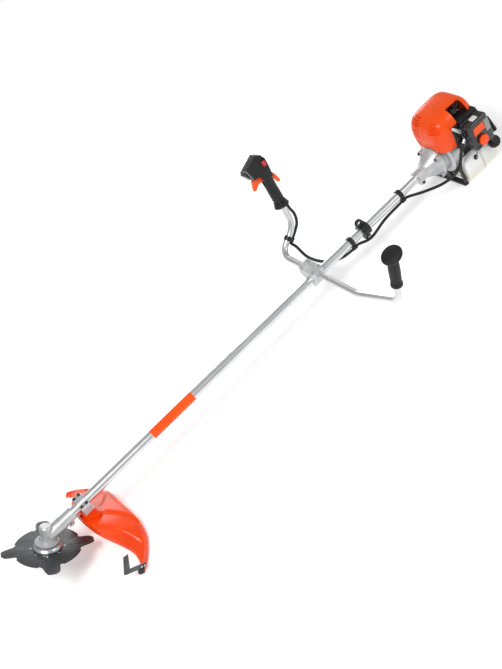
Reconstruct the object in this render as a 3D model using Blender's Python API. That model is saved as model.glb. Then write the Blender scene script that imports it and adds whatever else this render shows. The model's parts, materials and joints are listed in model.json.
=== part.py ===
"""Petrol brush cutter with a bike handlebar, a four-tooth blade and a two-stroke engine.

Everything is laid out in the working frame: the origin is the point in the gear head where the drive
shaft's axis meets the blade's axis, +X runs along the tube to the engine, +Y is the operator's right
and +Z is up. One parent empty then tips that frame a little, so that the guard and the engine's foot
both stand on the ground, and moves the origin to the middle of the foot's sole.
"""

from math import atan2, ceil, cos, pi, radians, sin, tau

import bmesh
import bpy
from mathutils import Matrix, Vector

# Fits
GAP = 0.0003

# Drive tube and shaft
TUBE_R = 0.014
TUBE_BORE = 0.0125
TUBE_START = 0.066
TUBE_END = 1.532
SHAFT_R = 0.004
SHAFT_START = 0.0125
SHAFT_END = 1.562
BUSH_STATIONS = (0.42, 1.16)
BUSH_LENGTH = 0.030

# Gear head and blade
HEAD_ANGLE = radians(30)
BARREL_R = 0.0175
BARREL_TOP = 0.040
FLANGE_R = 0.0335
SPINDLE_R = 0.005
SPINDLE_TOP = 0.031
SPINDLE_END = -0.0505
CONE_LENGTH = 0.022
GEAR_TEETH = 16
PINION_TEETH = 12
BLADE_LEVEL = -0.0302
BLADE_THICKNESS = 0.0014
BLADE_TIP_R = 0.1275
BLADE_BODY_R = 0.095
BLADE_TEETH = 4
BLADE_PHASE = radians(162)

# Guard
GUARD_HALF = 0.220
GUARD_WALL = 0.0026
GUARD_STEP = 0.015
GUARD_PLAN = (
    # Each station: out from the middle, front edge, rear shoulder
    (0.000, 0.108, 0.234),
    (0.060, 0.114, 0.236),
    (0.100, 0.129, 0.236),
    (0.140, 0.155, 0.228),
    (0.170, 0.173, 0.213),
    (0.195, 0.176, 0.196),
    (0.210, 0.171, 0.182),
    (GUARD_HALF, 0.165, 0.170),
)

# Handlebar
CLAMP_X = 1.063
CLAMP_HALF_X = 0.020
BAR_R = 0.0095
BAR_BORE = 0.008
BAR_Z = 0.025
CLAMP_SCREW_X = 0.0145
CLAMP_SCREW_Y = 0.027
LEFT_BENDS = (Vector((CLAMP_X, -0.210, BAR_Z)), Vector((1.0875, -0.376, 0.057)))
LEFT_AXIS = Vector((0.145, -0.190, 0.970)).normalized()
LEFT_GRIP = (0.057, 0.168)
RIGHT_BENDS = (Vector((CLAMP_X, 0.150, BAR_Z)), Vector((1.1445, 0.150, 0.076)))
RIGHT_AXIS = Vector((0.093, 0.232, 0.968)).normalized()
RIGHT_GRIP_BASE = RIGHT_BENDS[1] + 0.071 * RIGHT_AXIS
SLOT_HALF = 0.0065

# Harness hanger and cable
HANGER_X = 1.270
CABLE_R = 0.0045
CLIP_STATIONS = (1.212, 1.424)
CLIP_WIDTH = 0.014

# Engine, along the crank axis
HOUSING_FRONT = 1.500
HOUSING_REAR = 1.602
DRUM_R = 0.0385
SHOE_R = 0.0340
FAN_R = 0.0535
SHROUD_R = 0.064
SHROUD_REAR = 1.6405
CASE_REAR = 1.712
CRANK_THROW = 0.017
CYLINDER_X = 1.680
BORE_R = 0.0222
WRIST_Z = 0.072
CYLINDER_BASE = 0.0458
PLUG_BASE = Vector((CYLINDER_X, -0.0132, 0.1005))
PLUG_AXIS = Vector((-0.05, -0.82, 0.57)).normalized()

# Tank and foot
TANK_FRONT = 1.620
TANK_REAR = 1.749
TANK_WALL = 0.0020
FOOT_X = 1.611
FOOT_Z = -0.100

X_AXIS = Vector((1, 0, 0))
Y_AXIS = Vector((0, 1, 0))
Z_AXIS = Vector((0, 0, 1))

FINISHES = {
    "aluminium": ((0.66, 0.67, 0.68), 0.35, 0.9),
    "cast_aluminium": ((0.60, 0.61, 0.62), 0.45, 0.8),
    "steel": ((0.55, 0.56, 0.57), 0.3, 1.0),
    "blade_steel": ((0.05, 0.052, 0.055), 0.5, 0.3),
    "orange": ((0.80, 0.085, 0.008), 0.25, 0.0),
    "black_plastic": ((0.02, 0.02, 0.021), 0.45, 0.0),
    "rubber": ((0.015, 0.015, 0.016), 0.7, 0.0),
    "white_tank": ((0.80, 0.80, 0.77), 0.4, 0.0),
    "brass": ((0.55, 0.38, 0.12), 0.35, 1.0),
    "red": ((0.65, 0.02, 0.02), 0.35, 0.0),
}


# ---------------------------------------------------------------- scene helpers


def clear_scene():
    for thing in list(bpy.data.objects):
        bpy.data.objects.remove(thing)


def finish_of(name):
    found = bpy.data.materials.get(name)
    if found:
        return found
    colour, roughness, metallic = FINISHES[name]
    made = bpy.data.materials.new(name)
    made.use_nodes = True
    shader = made.node_tree.nodes["Principled BSDF"]
    shader.inputs["Base Color"].default_value = (*colour, 1)
    shader.inputs["Roughness"].default_value = roughness
    shader.inputs["Metallic"].default_value = metallic
    made.diffuse_color = (*colour, 1)
    return made


def frame_at(origin, z_axis, x_hint):
    """The placement whose +Z is z_axis, and whose +X is as near to x_hint as that allows."""
    up = Vector(z_axis).normalized()
    side = up.cross(Vector(x_hint)).normalized()
    ahead = side.cross(up)
    turn = Matrix((ahead, side, up)).transposed().to_4x4()
    return Matrix.Translation(origin) @ turn


HERE = Matrix.Identity(4)
ALONG_TUBE = frame_at((0, 0, 0), X_AXIS, Y_AXIS)
HEAD = frame_at((0, 0, 0), (sin(HEAD_ANGLE), 0, cos(HEAD_ANGLE)), X_AXIS)
UPRIGHT = Matrix.Translation((CYLINDER_X, 0, 0))
LEFT = frame_at(LEFT_BENDS[1], LEFT_AXIS, -X_AXIS)
RIGHT = frame_at(RIGHT_GRIP_BASE, RIGHT_AXIS, -X_AXIS)
PLUG = frame_at(PLUG_BASE, PLUG_AXIS, X_AXIS)
GRIP_SIDE = frame_at((0, 0, 0), Y_AXIS, X_AXIS)


def link(name, mesh, place):
    made = bpy.data.objects.new(name, mesh)
    bpy.context.scene.collection.objects.link(made)
    made.parent = bpy.data.objects["stance"]
    made.matrix_basis = place
    return made


def mesh_from(name, bm):
    bmesh.ops.recalc_face_normals(bm, faces=bm.faces)
    mesh = bpy.data.meshes.new(name)
    bm.to_mesh(mesh)
    bm.free()
    mesh.shade_smooth()
    mesh.set_sharp_from_angle(angle=radians(35))
    return mesh


def piece(name, finish, shape, place=HERE, add=(), cut=(), origin=None):
    """One sub-part: a shape, with others joined to it and cut from it. origin moves its pivot."""
    mesh = mesh_from(name, shape)
    if origin is not None:
        shift = Matrix.Translation(place.inverted() @ Vector(origin))
        mesh.transform(shift.inverted())
        place = place @ shift
    made = link(name, mesh, place)
    made.data.materials.append(finish_of(finish))
    for operation, tools in (("UNION", add), ("DIFFERENCE", cut)):
        for count, (tool, tool_place) in enumerate(tools):
            label = f"{name}_{operation.lower()}_{count}"
            helper = link(label, mesh_from(label, tool), tool_place)
            helper.hide_render = True
            helper.display_type = "WIRE"
            step = made.modifiers.new(label, "BOOLEAN")
            step.operation = operation
            step.object = helper
    return made


# ---------------------------------------------------------------- shapes


def bridge(bm, low, high):
    """Side faces between two closed rings of points."""
    for i in range(len(low)):
        j = (i + 1) % len(low)
        bm.faces.new((low[i], low[j], high[j], high[i]))


def turned(profile, steps=24, ring=False):
    """Turns (radius, height) points about Z. With ring, the last point joins the first."""
    bm = bmesh.new()
    rows = []
    for radius, height in profile:
        if radius == 0:
            rows.append([bm.verts.new((0, 0, height))])
            continue
        turns = [tau * (i + 0.5) / steps for i in range(steps)]
        rows.append([bm.verts.new((radius * cos(a), radius * sin(a), height)) for a in turns])
    pairs = list(zip(rows, rows[1:]))
    if ring:
        pairs.append((rows[-1], rows[0]))
    for low, high in pairs:
        if len(low) == 1 and len(high) == 1:
            continue
        if len(low) > 1 and len(high) > 1:
            bridge(bm, low, high)
            continue
        tip, round_row = (low, high) if len(low) == 1 else (high, low)
        for i in range(steps):
            bm.faces.new((tip[0], round_row[i], round_row[(i + 1) % steps]))
    return bm


def washer(inner, outer, low, high, steps=24):
    return turned(((inner, low), (outer, low), (outer, high), (inner, high)), steps, ring=True)


def disc(radius, low, high, steps=24):
    return turned(((0, low), (radius, low), (radius, high), (0, high)), steps)


def slab(outline, low, high):
    """Extrudes a flat outline of (x, y) points from one height to another."""
    bm = bmesh.new()
    rows = [[bm.verts.new((x, y, z)) for x, y in outline] for z in (low, high)]
    bridge(bm, *rows)
    bm.faces.new(rows[0])
    bm.faces.new(rows[1])
    return bm


def block(low, high, bevel=0.0, segments=2):
    bm = bmesh.new()
    bmesh.ops.create_cube(bm, size=1)
    low, high = Vector(low), Vector(high)
    size = high - low
    for vert in bm.verts:
        vert.co = low + Vector(size[i] * (vert.co[i] + 0.5) for i in range(3))
    if bevel:
        edges = list(bm.edges)
        bmesh.ops.bevel(bm, geom=edges, offset=bevel, segments=segments, profile=0.5, affect="EDGES")
    return bm


def lofted(rings):
    """A closed solid through rings of points, which all have the same count."""
    bm = bmesh.new()
    rows = [[bm.verts.new(point) for point in ring] for ring in rings]
    for low, high in zip(rows, rows[1:]):
        bridge(bm, low, high)
    bm.faces.new(rows[0])
    bm.faces.new(rows[-1])
    return bm


def arc(centre, radius, start, stop, count):
    """Points on a circle, with both ends."""
    angles = [start + (stop - start) * i / (count - 1) for i in range(count)]
    return [(centre[0] + radius * cos(a), centre[1] + radius * sin(a)) for a in angles]


def rounded_outline(x_low, x_high, y_low, y_high, radius, count=4):
    corners = (
        ((x_high - radius, y_high - radius), 0),
        ((x_low + radius, y_high - radius), pi / 2),
        ((x_low + radius, y_low + radius), pi),
        ((x_high - radius, y_low + radius), 3 * pi / 2),
    )
    return [p for centre, start in corners for p in arc(centre, radius, start, start + pi / 2, count)]


def lobed_outline(root, tip, lobes, tip_share, points=2):
    """An outline with lobes: each holds the tip radius over tip_share of its pitch."""
    outline = []
    pitch = tau / lobes
    for lobe in range(lobes):
        middle = lobe * pitch
        reach = tip_share * pitch / 2
        outline += arc((0, 0), tip, middle - reach, middle + reach, points)
        gap = (1 - tip_share) * pitch / 2 * 0.6
        centre = middle + pitch / 2
        outline += arc((0, 0), root, centre - gap, centre + gap, points)
    return outline


def rod_place(start, end):
    """The placement that puts a shape turned about +Z on the line from start to end."""
    axis = Vector(end) - Vector(start)
    hint = X_AXIS if abs(axis.normalized().x) < 0.9 else Y_AXIS
    return frame_at(start, axis, hint)


def rod(start, end, radius, steps=16):
    """A cylinder between two points, with its placement."""
    length = (Vector(end) - Vector(start)).length
    return disc(radius, 0, length, steps), rod_place(start, end)


def bent_path(corners, radii, turn_step=radians(15)):
    """The corners' polyline with each inner corner rounded to its radius."""
    path = [corners[0].copy()]
    for before, corner, after, radius in zip(corners, corners[1:], corners[2:], radii):
        into = (corner - before).normalized()
        out = (after - corner).normalized()
        bend = into.angle(out)
        cut_back = radius * sin(bend / 2) / cos(bend / 2)
        start = corner - into * cut_back
        inward = (out - into * into.dot(out)).normalized()
        centre = start + inward * radius
        steps = max(2, ceil(bend / turn_step))
        for i in range(steps + 1):
            angle = bend * i / steps
            path.append(centre - inward * radius * cos(angle) + into * radius * sin(angle))
    path.append(corners[-1].copy())
    return path


def piped(path, outer, inner, steps=16):
    """A hollow round tube along a path, whose rings keep their twist from one point to the next."""
    bm = bmesh.new()
    tangent = (path[1] - path[0]).normalized()
    side = tangent.orthogonal().normalized()
    rows = []
    for i, point in enumerate(path):
        ahead = path[min(i + 1, len(path) - 1)] - path[max(i - 1, 0)]
        tangent = ahead.normalized()
        side = (side - tangent * side.dot(tangent)).normalized()
        other = tangent.cross(side)
        turns = [tau * k / steps for k in range(steps)]
        spokes = [cos(a) * side + sin(a) * other for a in turns]
        rows.append([[bm.verts.new(point + r * spoke) for spoke in spokes] for r in (outer, inner)])
    for low, high in zip(rows, rows[1:]):
        bridge(bm, low[0], high[0])
        bridge(bm, low[1], high[1])
    for end in (rows[0], rows[-1]):
        bridge(bm, end[0], end[1])
    return bm


def smooth_route(points, spacing):
    """Even points on a smooth curve (Catmull-Rom) through the given ones."""
    padded = [2 * points[0] - points[1], *points, 2 * points[-1] - points[-2]]
    route = [points[0].copy()]
    for a, b, c, d in zip(padded, padded[1:], padded[2:], padded[3:]):
        steps = max(1, round((c - b).length / spacing))
        for i in range(1, steps + 1):
            t = i / steps
            pull = (2 * b, c - a, 2 * a - 5 * b + 4 * c - d, 3 * b - a - 3 * c + d)
            route.append((pull[0] + pull[1] * t + pull[2] * t * t + pull[3] * t**3) / 2)
    return route


# ---------------------------------------------------------------- cutting head


def bevel_gear_shape(teeth, half_angle, bore, back):
    """A straight bevel gear on +Z, with its cone's point at the origin and a hub behind its back face."""
    pitch_r = CONE_LENGTH * sin(half_angle)
    level = CONE_LENGTH * cos(half_angle)
    module = 2 * pitch_r / teeth
    outline = lobed_outline(pitch_r - 0.75 * module, pitch_r + 0.55 * module, teeth, 0.30)
    front = 0.62
    rings = [
        [(front * x, front * y, front * level) for x, y in outline],
        [(x, y, level) for x, y in outline],
    ]
    hub = disc(0.62 * pitch_r, level - 0.001, back)
    return lofted(rings), hub, (bore, front * level - 0.002, back + 0.002)


def build_gears():
    gear_half = atan2(sin(pi / 3), PINION_TEETH / GEAR_TEETH + cos(pi / 3))
    pinion_half = pi / 3 - gear_half
    half_tooth = Matrix.Rotation(pi / GEAR_TEETH, 4, "Z")
    on_shaft = frame_at((0, 0, 0), X_AXIS, Z_AXIS)
    for name, teeth, half, bore, back, place in (
        ("bevel_gear", GEAR_TEETH, gear_half, SPINDLE_R + GAP, 0.0250, HEAD @ half_tooth),
        ("bevel_pinion", PINION_TEETH, pinion_half, SHAFT_R + GAP, 0.0270, on_shaft),
    ):
        teeth_shape, hub, (bore_r, low, high) = bevel_gear_shape(teeth, half, bore, back)
        hole = disc(bore_r, low, high, 16)
        piece(name, "steel", teeth_shape, place, add=[(hub, place)], cut=[(hole, place)])


def build_gearcase():
    barrel = turned(
        (
            (0, BARREL_TOP),
            (BARREL_R - 0.003, BARREL_TOP),
            (BARREL_R, BARREL_TOP - 0.003),
            (BARREL_R, -0.004),
            (0.025, -0.007),
            (FLANGE_R, -0.009),
            (FLANGE_R, -0.0135),
            (0, -0.0135),
        ),
        32,
    )
    neck = turned(
        (
            (0, 0.004),
            (0.0175, 0.004),
            (0.0195, 0.012),
            (0.0195, 0.060),
            (0.0180, 0.063),
            (0.0180, 0.098),
            (0, 0.098),
        )
    )
    ears = block((0.066, -0.0095, -0.0275), (0.084, 0.0095, -0.014), 0.002, 1)
    piece(
        "gearcase",
        "cast_aluminium",
        barrel,
        HEAD,
        add=[(neck, ALONG_TUBE), (ears, HERE)],
        cut=[
            (disc(0.0145, -0.020, 0.034), HEAD),
            (disc(0.0128, 0, 0.070), ALONG_TUBE),
            (disc(TUBE_R + GAP, TUBE_START - GAP, 0.110), ALONG_TUBE),
            (block((0.0635, -0.0008, -0.040), (0.110, 0.0008, -0.008)), HERE),
        ],
    )


def build_spindle():
    piece("output_spindle", "steel", disc(SPINDLE_R, SPINDLE_END, SPINDLE_TOP, 16), HEAD)
    bore = SPINDLE_R + GAP
    blade_top = BLADE_LEVEL + BLADE_THICKNESS / 2
    blade_bottom = BLADE_LEVEL - BLADE_THICKNESS / 2
    seat = blade_top + GAP
    holder = (
        (bore, -0.0142),
        (0.029, -0.0142),
        (0.036, -0.018),
        (0.040, -0.024),
        (0.040, seat),
        (0.0125, seat),
        (0.0125, blade_bottom),
        (bore, blade_bottom),
    )
    piece("blade_holder", "steel", turned(holder, 32, ring=True), HEAD)
    under = blade_bottom - GAP
    cup = ((bore, under), (0.034, under), (0.035, under - 0.003), (0.020, -0.041), (bore, -0.041))
    piece("blade_washer", "steel", turned(cup, 24, ring=True), HEAD)
    nut_top = -0.041 - GAP
    piece(
        "blade_nut",
        "steel",
        disc(0.0098, nut_top - 0.008, nut_top, 6),
        HEAD,
        cut=[(disc(bore, -0.06, -0.03, 16), HEAD)],
    )


def blade_outline():
    """Round body with a notch beside the root of each tooth and a wedge-shaped tooth."""
    outline = []
    pitch = tau / BLADE_TEETH
    for tooth in range(BLADE_TEETH):
        middle = BLADE_PHASE + tooth * pitch
        outline.append((0.090 * cos(middle - 0.40), 0.090 * sin(middle - 0.40)))
        outline.append((0.0935 * cos(middle - 0.30), 0.0935 * sin(middle - 0.30)))
        outline.append((0.119 * cos(middle - 0.17), 0.119 * sin(middle - 0.17)))
        outline.append((BLADE_TIP_R * cos(middle - 0.11), BLADE_TIP_R * sin(middle - 0.11)))
        outline.append((BLADE_TIP_R * cos(middle + 0.06), BLADE_TIP_R * sin(middle + 0.06)))
        outline.append((0.120 * cos(middle + 0.14), 0.120 * sin(middle + 0.14)))
        outline.append((0.0935 * cos(middle + 0.22), 0.0935 * sin(middle + 0.22)))
        outline.append((0.0900 * cos(middle + 0.30), 0.0900 * sin(middle + 0.30)))
        outline += arc((0, 0), BLADE_BODY_R, middle + 0.36, middle + pitch - 0.44, 10)
    return outline


def build_blade():
    half = BLADE_THICKNESS / 2
    piece(
        "blade",
        "blade_steel",
        slab(blade_outline(), BLADE_LEVEL - half, BLADE_LEVEL + half),
        HEAD,
        cut=[(disc(0.0128, BLADE_LEVEL - 0.005, BLADE_LEVEL + 0.005), HEAD)],
    )


# ---------------------------------------------------------------- guard


def guard_stations():
    """(side, front, rear) at even steps, from the guard's left tip to its right one."""
    stations = [Vector((-side, front, rear)) for side, front, rear in reversed(GUARD_PLAN[1:])]
    stations += [Vector(station) for station in GUARD_PLAN]
    return smooth_route(stations, GUARD_STEP)


def guard_section(side, front, rear):
    """The guard's (forward, up) profile in the blade's frame, at one station."""
    share = abs(side) / GUARD_HALF
    crown = 0.025 - 0.063 * share**2.5
    skirt = 0.030 - 0.008 * share
    depth = rear - front
    return (
        (front, crown - 0.012),
        (front + 0.04 * depth, crown - 0.002),
        (front + 0.30 * depth, crown),
        (front + 0.75 * depth, crown),
        (rear, crown - 0.004),
        (rear + 0.005, crown - 0.014),
        (rear + 0.007, crown - skirt),
    )


def guard_shell():
    """The guard's outer skin."""
    bm = bmesh.new()
    rows = []
    for side, front, rear in guard_stations():
        rows.append([bm.verts.new((b, side, n)) for b, n in guard_section(side, front, rear)])
    for low, high in zip(rows, rows[1:]):
        for i in range(len(low) - 1):
            bm.faces.new((low[i], low[i + 1], high[i + 1], high[i]))
    return bm


def build_guard():
    bm = guard_shell()
    bmesh.ops.recalc_face_normals(bm, faces=bm.faces)
    middle = bm.faces[len(bm.faces) // 2]
    if middle.normal.z < 0:
        bmesh.ops.reverse_faces(bm, faces=bm.faces)
    mesh = bpy.data.meshes.new("guard")
    bm.to_mesh(mesh)
    bm.free()
    mesh.shade_smooth()
    mesh.set_sharp_from_angle(angle=radians(35))
    guard = link("guard", mesh, HEAD)
    guard.data.materials.append(finish_of("orange"))
    wall = guard.modifiers.new("wall", "SOLIDIFY")
    wall.thickness = GUARD_WALL
    wall.offset = -1
    outline = ((0.113, 0.0178), (0.149, 0.0178), (0.149, 0.0620), (0.113, 0.0410))
    pedestal = slab(outline, -0.026, 0.026)
    helper = link("guard_pedestal", mesh_from("guard_pedestal", pedestal), GRIP_SIDE)
    helper.hide_render = True
    helper.display_type = "WIRE"
    join = guard.modifiers.new("pedestal", "BOOLEAN")
    join.operation = "UNION"
    join.object = helper


def build_guard_fittings():
    saddle = block((0.117, -0.032, -0.0175), (0.149, 0.032, 0.009), 0.002, 1)
    piece(
        "guard_bracket",
        "cast_aluminium",
        saddle,
        cut=[
            (disc(TUBE_R + GAP, 0.10, 0.17), ALONG_TUBE),
            (block((0.10, -TUBE_R - GAP, 0), (0.17, TUBE_R + GAP, 0.02)), HERE),
        ],
    )
    outline = (
        (0.117, -0.042),
        (0.176, -0.042),
        (0.176, -0.033),
        (0.126, -0.033),
        (0.126, 0.021),
        (0.115, 0.018),
        (0.115, -0.039),
    )
    plate = frame_at((0, 0, 0), -Y_AXIS, X_AXIS)
    near = GUARD_HALF + 0.0014
    piece("line_knife", "steel", slab(outline, near, near + 0.0018), HEAD @ plate)


# ---------------------------------------------------------------- tube and shaft


def build_driveline():
    piece("main_tube", "aluminium", washer(TUBE_BORE, TUBE_R, TUBE_START, TUBE_END), ALONG_TUBE)
    piece("drive_shaft", "steel", disc(SHAFT_R, SHAFT_START, SHAFT_END, 12), ALONG_TUBE)
    for count, station in enumerate(BUSH_STATIONS, 1):
        low, high = station - BUSH_LENGTH / 2, station + BUSH_LENGTH / 2
        ring = washer(SHAFT_R + GAP, TUBE_BORE - GAP, low, high, 16)
        piece(f"shaft_bush_{count}", "brass", ring, ALONG_TUBE)


# ---------------------------------------------------------------- handlebar


def build_handlebar():
    corners = [
        LEFT_BENDS[1] + 0.150 * LEFT_AXIS,
        LEFT_BENDS[1],
        LEFT_BENDS[0],
        RIGHT_BENDS[0],
        RIGHT_BENDS[1],
        RIGHT_GRIP_BASE + 0.056 * RIGHT_AXIS,
    ]
    path = bent_path(corners, (0.036, 0.080, 0.040, 0.060))
    piece("handlebar", "aluminium", piped(path, BAR_R, BAR_BORE, 12))


def build_bar_clamp():
    groove = rod((CLAMP_X, -0.06, BAR_Z), (CLAMP_X, 0.06, BAR_Z), BAR_R + GAP)
    across = frame_at((0, 0, 0), X_AXIS, Y_AXIS)
    front, rear = CLAMP_X - CLAMP_HALF_X, CLAMP_X + CLAMP_HALF_X
    outline = (
        (0.038, BAR_Z - GAP / 2),
        (0.038, 0.015),
        (0.022, 0.003),
        (0.0205, -0.007),
        (0.012, -0.0195),
        (-0.012, -0.0195),
        (-0.0205, -0.007),
        (-0.022, 0.003),
        (-0.038, 0.015),
        (-0.038, BAR_Z - GAP / 2),
    )
    screws = [(sx * CLAMP_SCREW_X, sy * CLAMP_SCREW_Y) for sx in (-1, 1) for sy in (-1, 1)]
    holes = [rod((CLAMP_X + x, y, 0.006), (CLAMP_X + x, y, 0.05), 0.0027, 12) for x, y in screws]
    piece(
        "handlebar_clamp_base",
        "cast_aluminium",
        slab(outline, front, rear),
        across,
        cut=[(disc(TUBE_R + GAP, 1.0, 1.1), ALONG_TUBE), groove, *holes],
    )
    groove = rod((CLAMP_X, -0.06, BAR_Z), (CLAMP_X, 0.06, BAR_Z), BAR_R + GAP)
    holes = [rod((CLAMP_X + x, y, 0.006), (CLAMP_X + x, y, 0.05), 0.0027, 12) for x, y in screws]
    plate = slab(rounded_outline(front, rear, -0.038, 0.038, 0.006), BAR_Z + GAP / 2, 0.040)
    piece("handlebar_clamp_cap", "cast_aluminium", plate, cut=[groove, *holes])
    profile = ((0, 0.010), (0.0024, 0.010), (0.0024, 0.0403), (0.0043, 0.0403), (0.0043, 0.0448), (0, 0.0448))
    for count, (x, y) in enumerate(screws, 1):
        shape = turned(profile, 12)
        piece(f"clamp_screw_{count}", "steel", shape, Matrix.Translation((CLAMP_X + x, y, 0)))


def build_left_grip():
    low, high = LEFT_GRIP
    body = turned(
        (
            (0, high),
            (0.0160, high),
            (0.0165, high - 0.020),
            (0.0152, high - 0.060),
            (0.0152, low + 0.010),
            (0.0195, low + 0.006),
            (0.0195, low),
            (0, low),
        )
    )
    rest = frame_at(LEFT_BENDS[1] + (high + 0.001) * LEFT_AXIS, (-0.227, -0.079, 0.967), X_AXIS)
    palm_rest = turned(
        ((0, -0.003), (0.027, -0.003), (0.0305, -0.001), (0.0305, 0.002), (0.027, 0.0045), (0, 0.0045))
    )
    piece(
        "left_grip",
        "rubber",
        body,
        LEFT,
        add=[(palm_rest, rest)],
        cut=[(disc(BAR_R + GAP, low - 0.02, 0.153, 16), LEFT)],
    )


def side_slab(outline, half_width):
    """A slab of (ahead, up) points in a grip's frame, as wide as given across the grip."""
    return slab([(ahead, -up) for ahead, up in outline], -half_width, half_width)


def throttle_housing_shape():
    body = turned(
        (
            (0, 0.118),
            (0.0165, 0.118),
            (0.0175, 0.090),
            (0.0170, 0.050),
            (0.0170, 0.014),
            (0.0225, 0.009),
            (0.0225, 0),
            (0, 0),
        )
    )
    head = (
        (-0.0165, 0.100),
        (-0.0200, 0.130),
        (-0.0205, 0.156),
        (-0.0130, 0.172),
        (0.0010, 0.180),
        (0.0540, 0.155),
        (0.0580, 0.146),
        (0.0440, 0.122),
        (0.0160, 0.119),
        (0.0160, 0.098),
    )
    return body, side_slab(head, 0.0175)


def build_throttle_grip():
    for name, side in (("throttle_housing_left", 1), ("throttle_housing_right", -1)):
        body, head = throttle_housing_shape()
        far = block((-0.1, -0.1, -0.1), (0.1, GAP / 2, 0.3))
        if side < 0:
            far = block((-0.1, -GAP / 2, -0.1), (0.1, 0.1, 0.3))
        slot = (
            (-0.040, 0.062),
            (-0.004, 0.062),
            (0.004, 0.082),
            (0.064, 0.082),
            (0.064, 0.128),
            (0.022, 0.128),
            (-0.040, 0.128),
        )
        cuts = [
            (far, RIGHT),
            (side_slab(slot, SLOT_HALF), RIGHT @ GRIP_SIDE),
            (disc(BAR_R + GAP, -0.02, 0.058), RIGHT),
        ]
        if side > 0:
            cuts.append((block((-0.0155, 0.0140, 0.1375), (-0.0040, 0.03, 0.1630)), RIGHT))
        piece(name, "black_plastic", body, RIGHT, add=[(head, RIGHT @ GRIP_SIDE)], cut=cuts)
    lever_half = SLOT_HALF - 2 * GAP
    trigger = (
        (0.0045, 0.1205),
        (0.0440, 0.1185),
        (0.0540, 0.0900),
        (0.0480, 0.0885),
        (0.0310, 0.0995),
        (0.0160, 0.1000),
        (0.0060, 0.1080),
    )
    pivot = RIGHT @ Vector((0.010, 0, 0.114))
    piece("throttle_trigger", "orange", side_slab(trigger, lever_half), RIGHT @ GRIP_SIDE, origin=pivot)
    lockout = (
        (-0.0040, 0.1200),
        (-0.0150, 0.1215),
        (-0.0280, 0.0960),
        (-0.0345, 0.0740),
        (-0.0315, 0.0680),
        (-0.0260, 0.0680),
        (-0.0130, 0.1050),
        (-0.0040, 0.1120),
    )
    pivot = RIGHT @ Vector((-0.008, 0, 0.116))
    piece("lockout_lever", "orange", side_slab(lockout, lever_half), RIGHT @ GRIP_SIDE, origin=pivot)
    switch = block((-0.0150, 0.0145, 0.1380), (-0.0045, 0.0212, 0.1540), 0.001, 1)
    piece("stop_switch", "red", switch, RIGHT, origin=RIGHT @ Vector((-0.0097, 0.0175, 0.1460)))


# ---------------------------------------------------------------- harness hanger, clips and cable


def build_hanger():
    low, high = HANGER_X - 0.014, HANGER_X + 0.014
    eye_at = Vector((HANGER_X - 0.005, 0, 0.0300))
    eye = frame_at(eye_at, Y_AXIS, X_AXIS)
    ears = block((HANGER_X - 0.010, -0.009, -0.033), (HANGER_X + 0.010, 0.009, -0.016), 0.002, 1)
    piece(
        "hanger_clamp",
        "black_plastic",
        disc(0.0215, low, high),
        ALONG_TUBE,
        add=[(disc(0.0128, -0.0045, 0.0045), eye), (ears, HERE)],
        cut=[
            (disc(TUBE_R + GAP, low - 0.01, high + 0.01), ALONG_TUBE),
            (disc(0.0070, -0.01, 0.01, 16), eye),
            (block((low - 0.01, -0.0008, -0.04), (high + 0.01, 0.0008, -0.008)), HERE),
        ],
    )


CABLE_AT_CLIPS = (Vector((0, -0.0123, -0.0164)), Vector((0, -0.0127, -0.0161)))
BAR_RUN = (RIGHT_BENDS[1] - RIGHT_BENDS[0]).normalized()
BAR_CLIP = RIGHT_BENDS[0] + 0.0535 * BAR_RUN
BAR_CLIP_DOWN = Y_AXIS.cross(BAR_RUN)
CABLE_AT_BAR = BAR_CLIP + 0.0163 * BAR_CLIP_DOWN


def clip(name, place, held_r, cable_at):
    """A strap round a tube at the placement's origin, with a small ring for the cable beside it."""
    half = CLIP_WIDTH / 2
    beside = place @ Matrix.Translation(cable_at)
    piece(
        name,
        "black_plastic",
        disc(held_r + 0.0024, -half, half, 20),
        place,
        add=[(disc(CABLE_R + 0.0022, -half, half, 16), beside)],
        cut=[
            (disc(held_r + GAP, -0.02, 0.02, 20), place),
            (disc(CABLE_R + GAP, -0.02, 0.02, 16), beside),
        ],
    )


def build_clips():
    for count, (station, cable_at) in enumerate(zip(CLIP_STATIONS, CABLE_AT_CLIPS), 2):
        place = frame_at((station, 0, 0), X_AXIS, Y_AXIS)
        clip(f"cable_clip_{count}", place, TUBE_R, (cable_at.y, cable_at.z, 0))
    place = frame_at(BAR_CLIP, BAR_RUN, BAR_CLIP_DOWN)
    clip("cable_clip_1", place, BAR_R, (0.0163, 0, 0))


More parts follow.
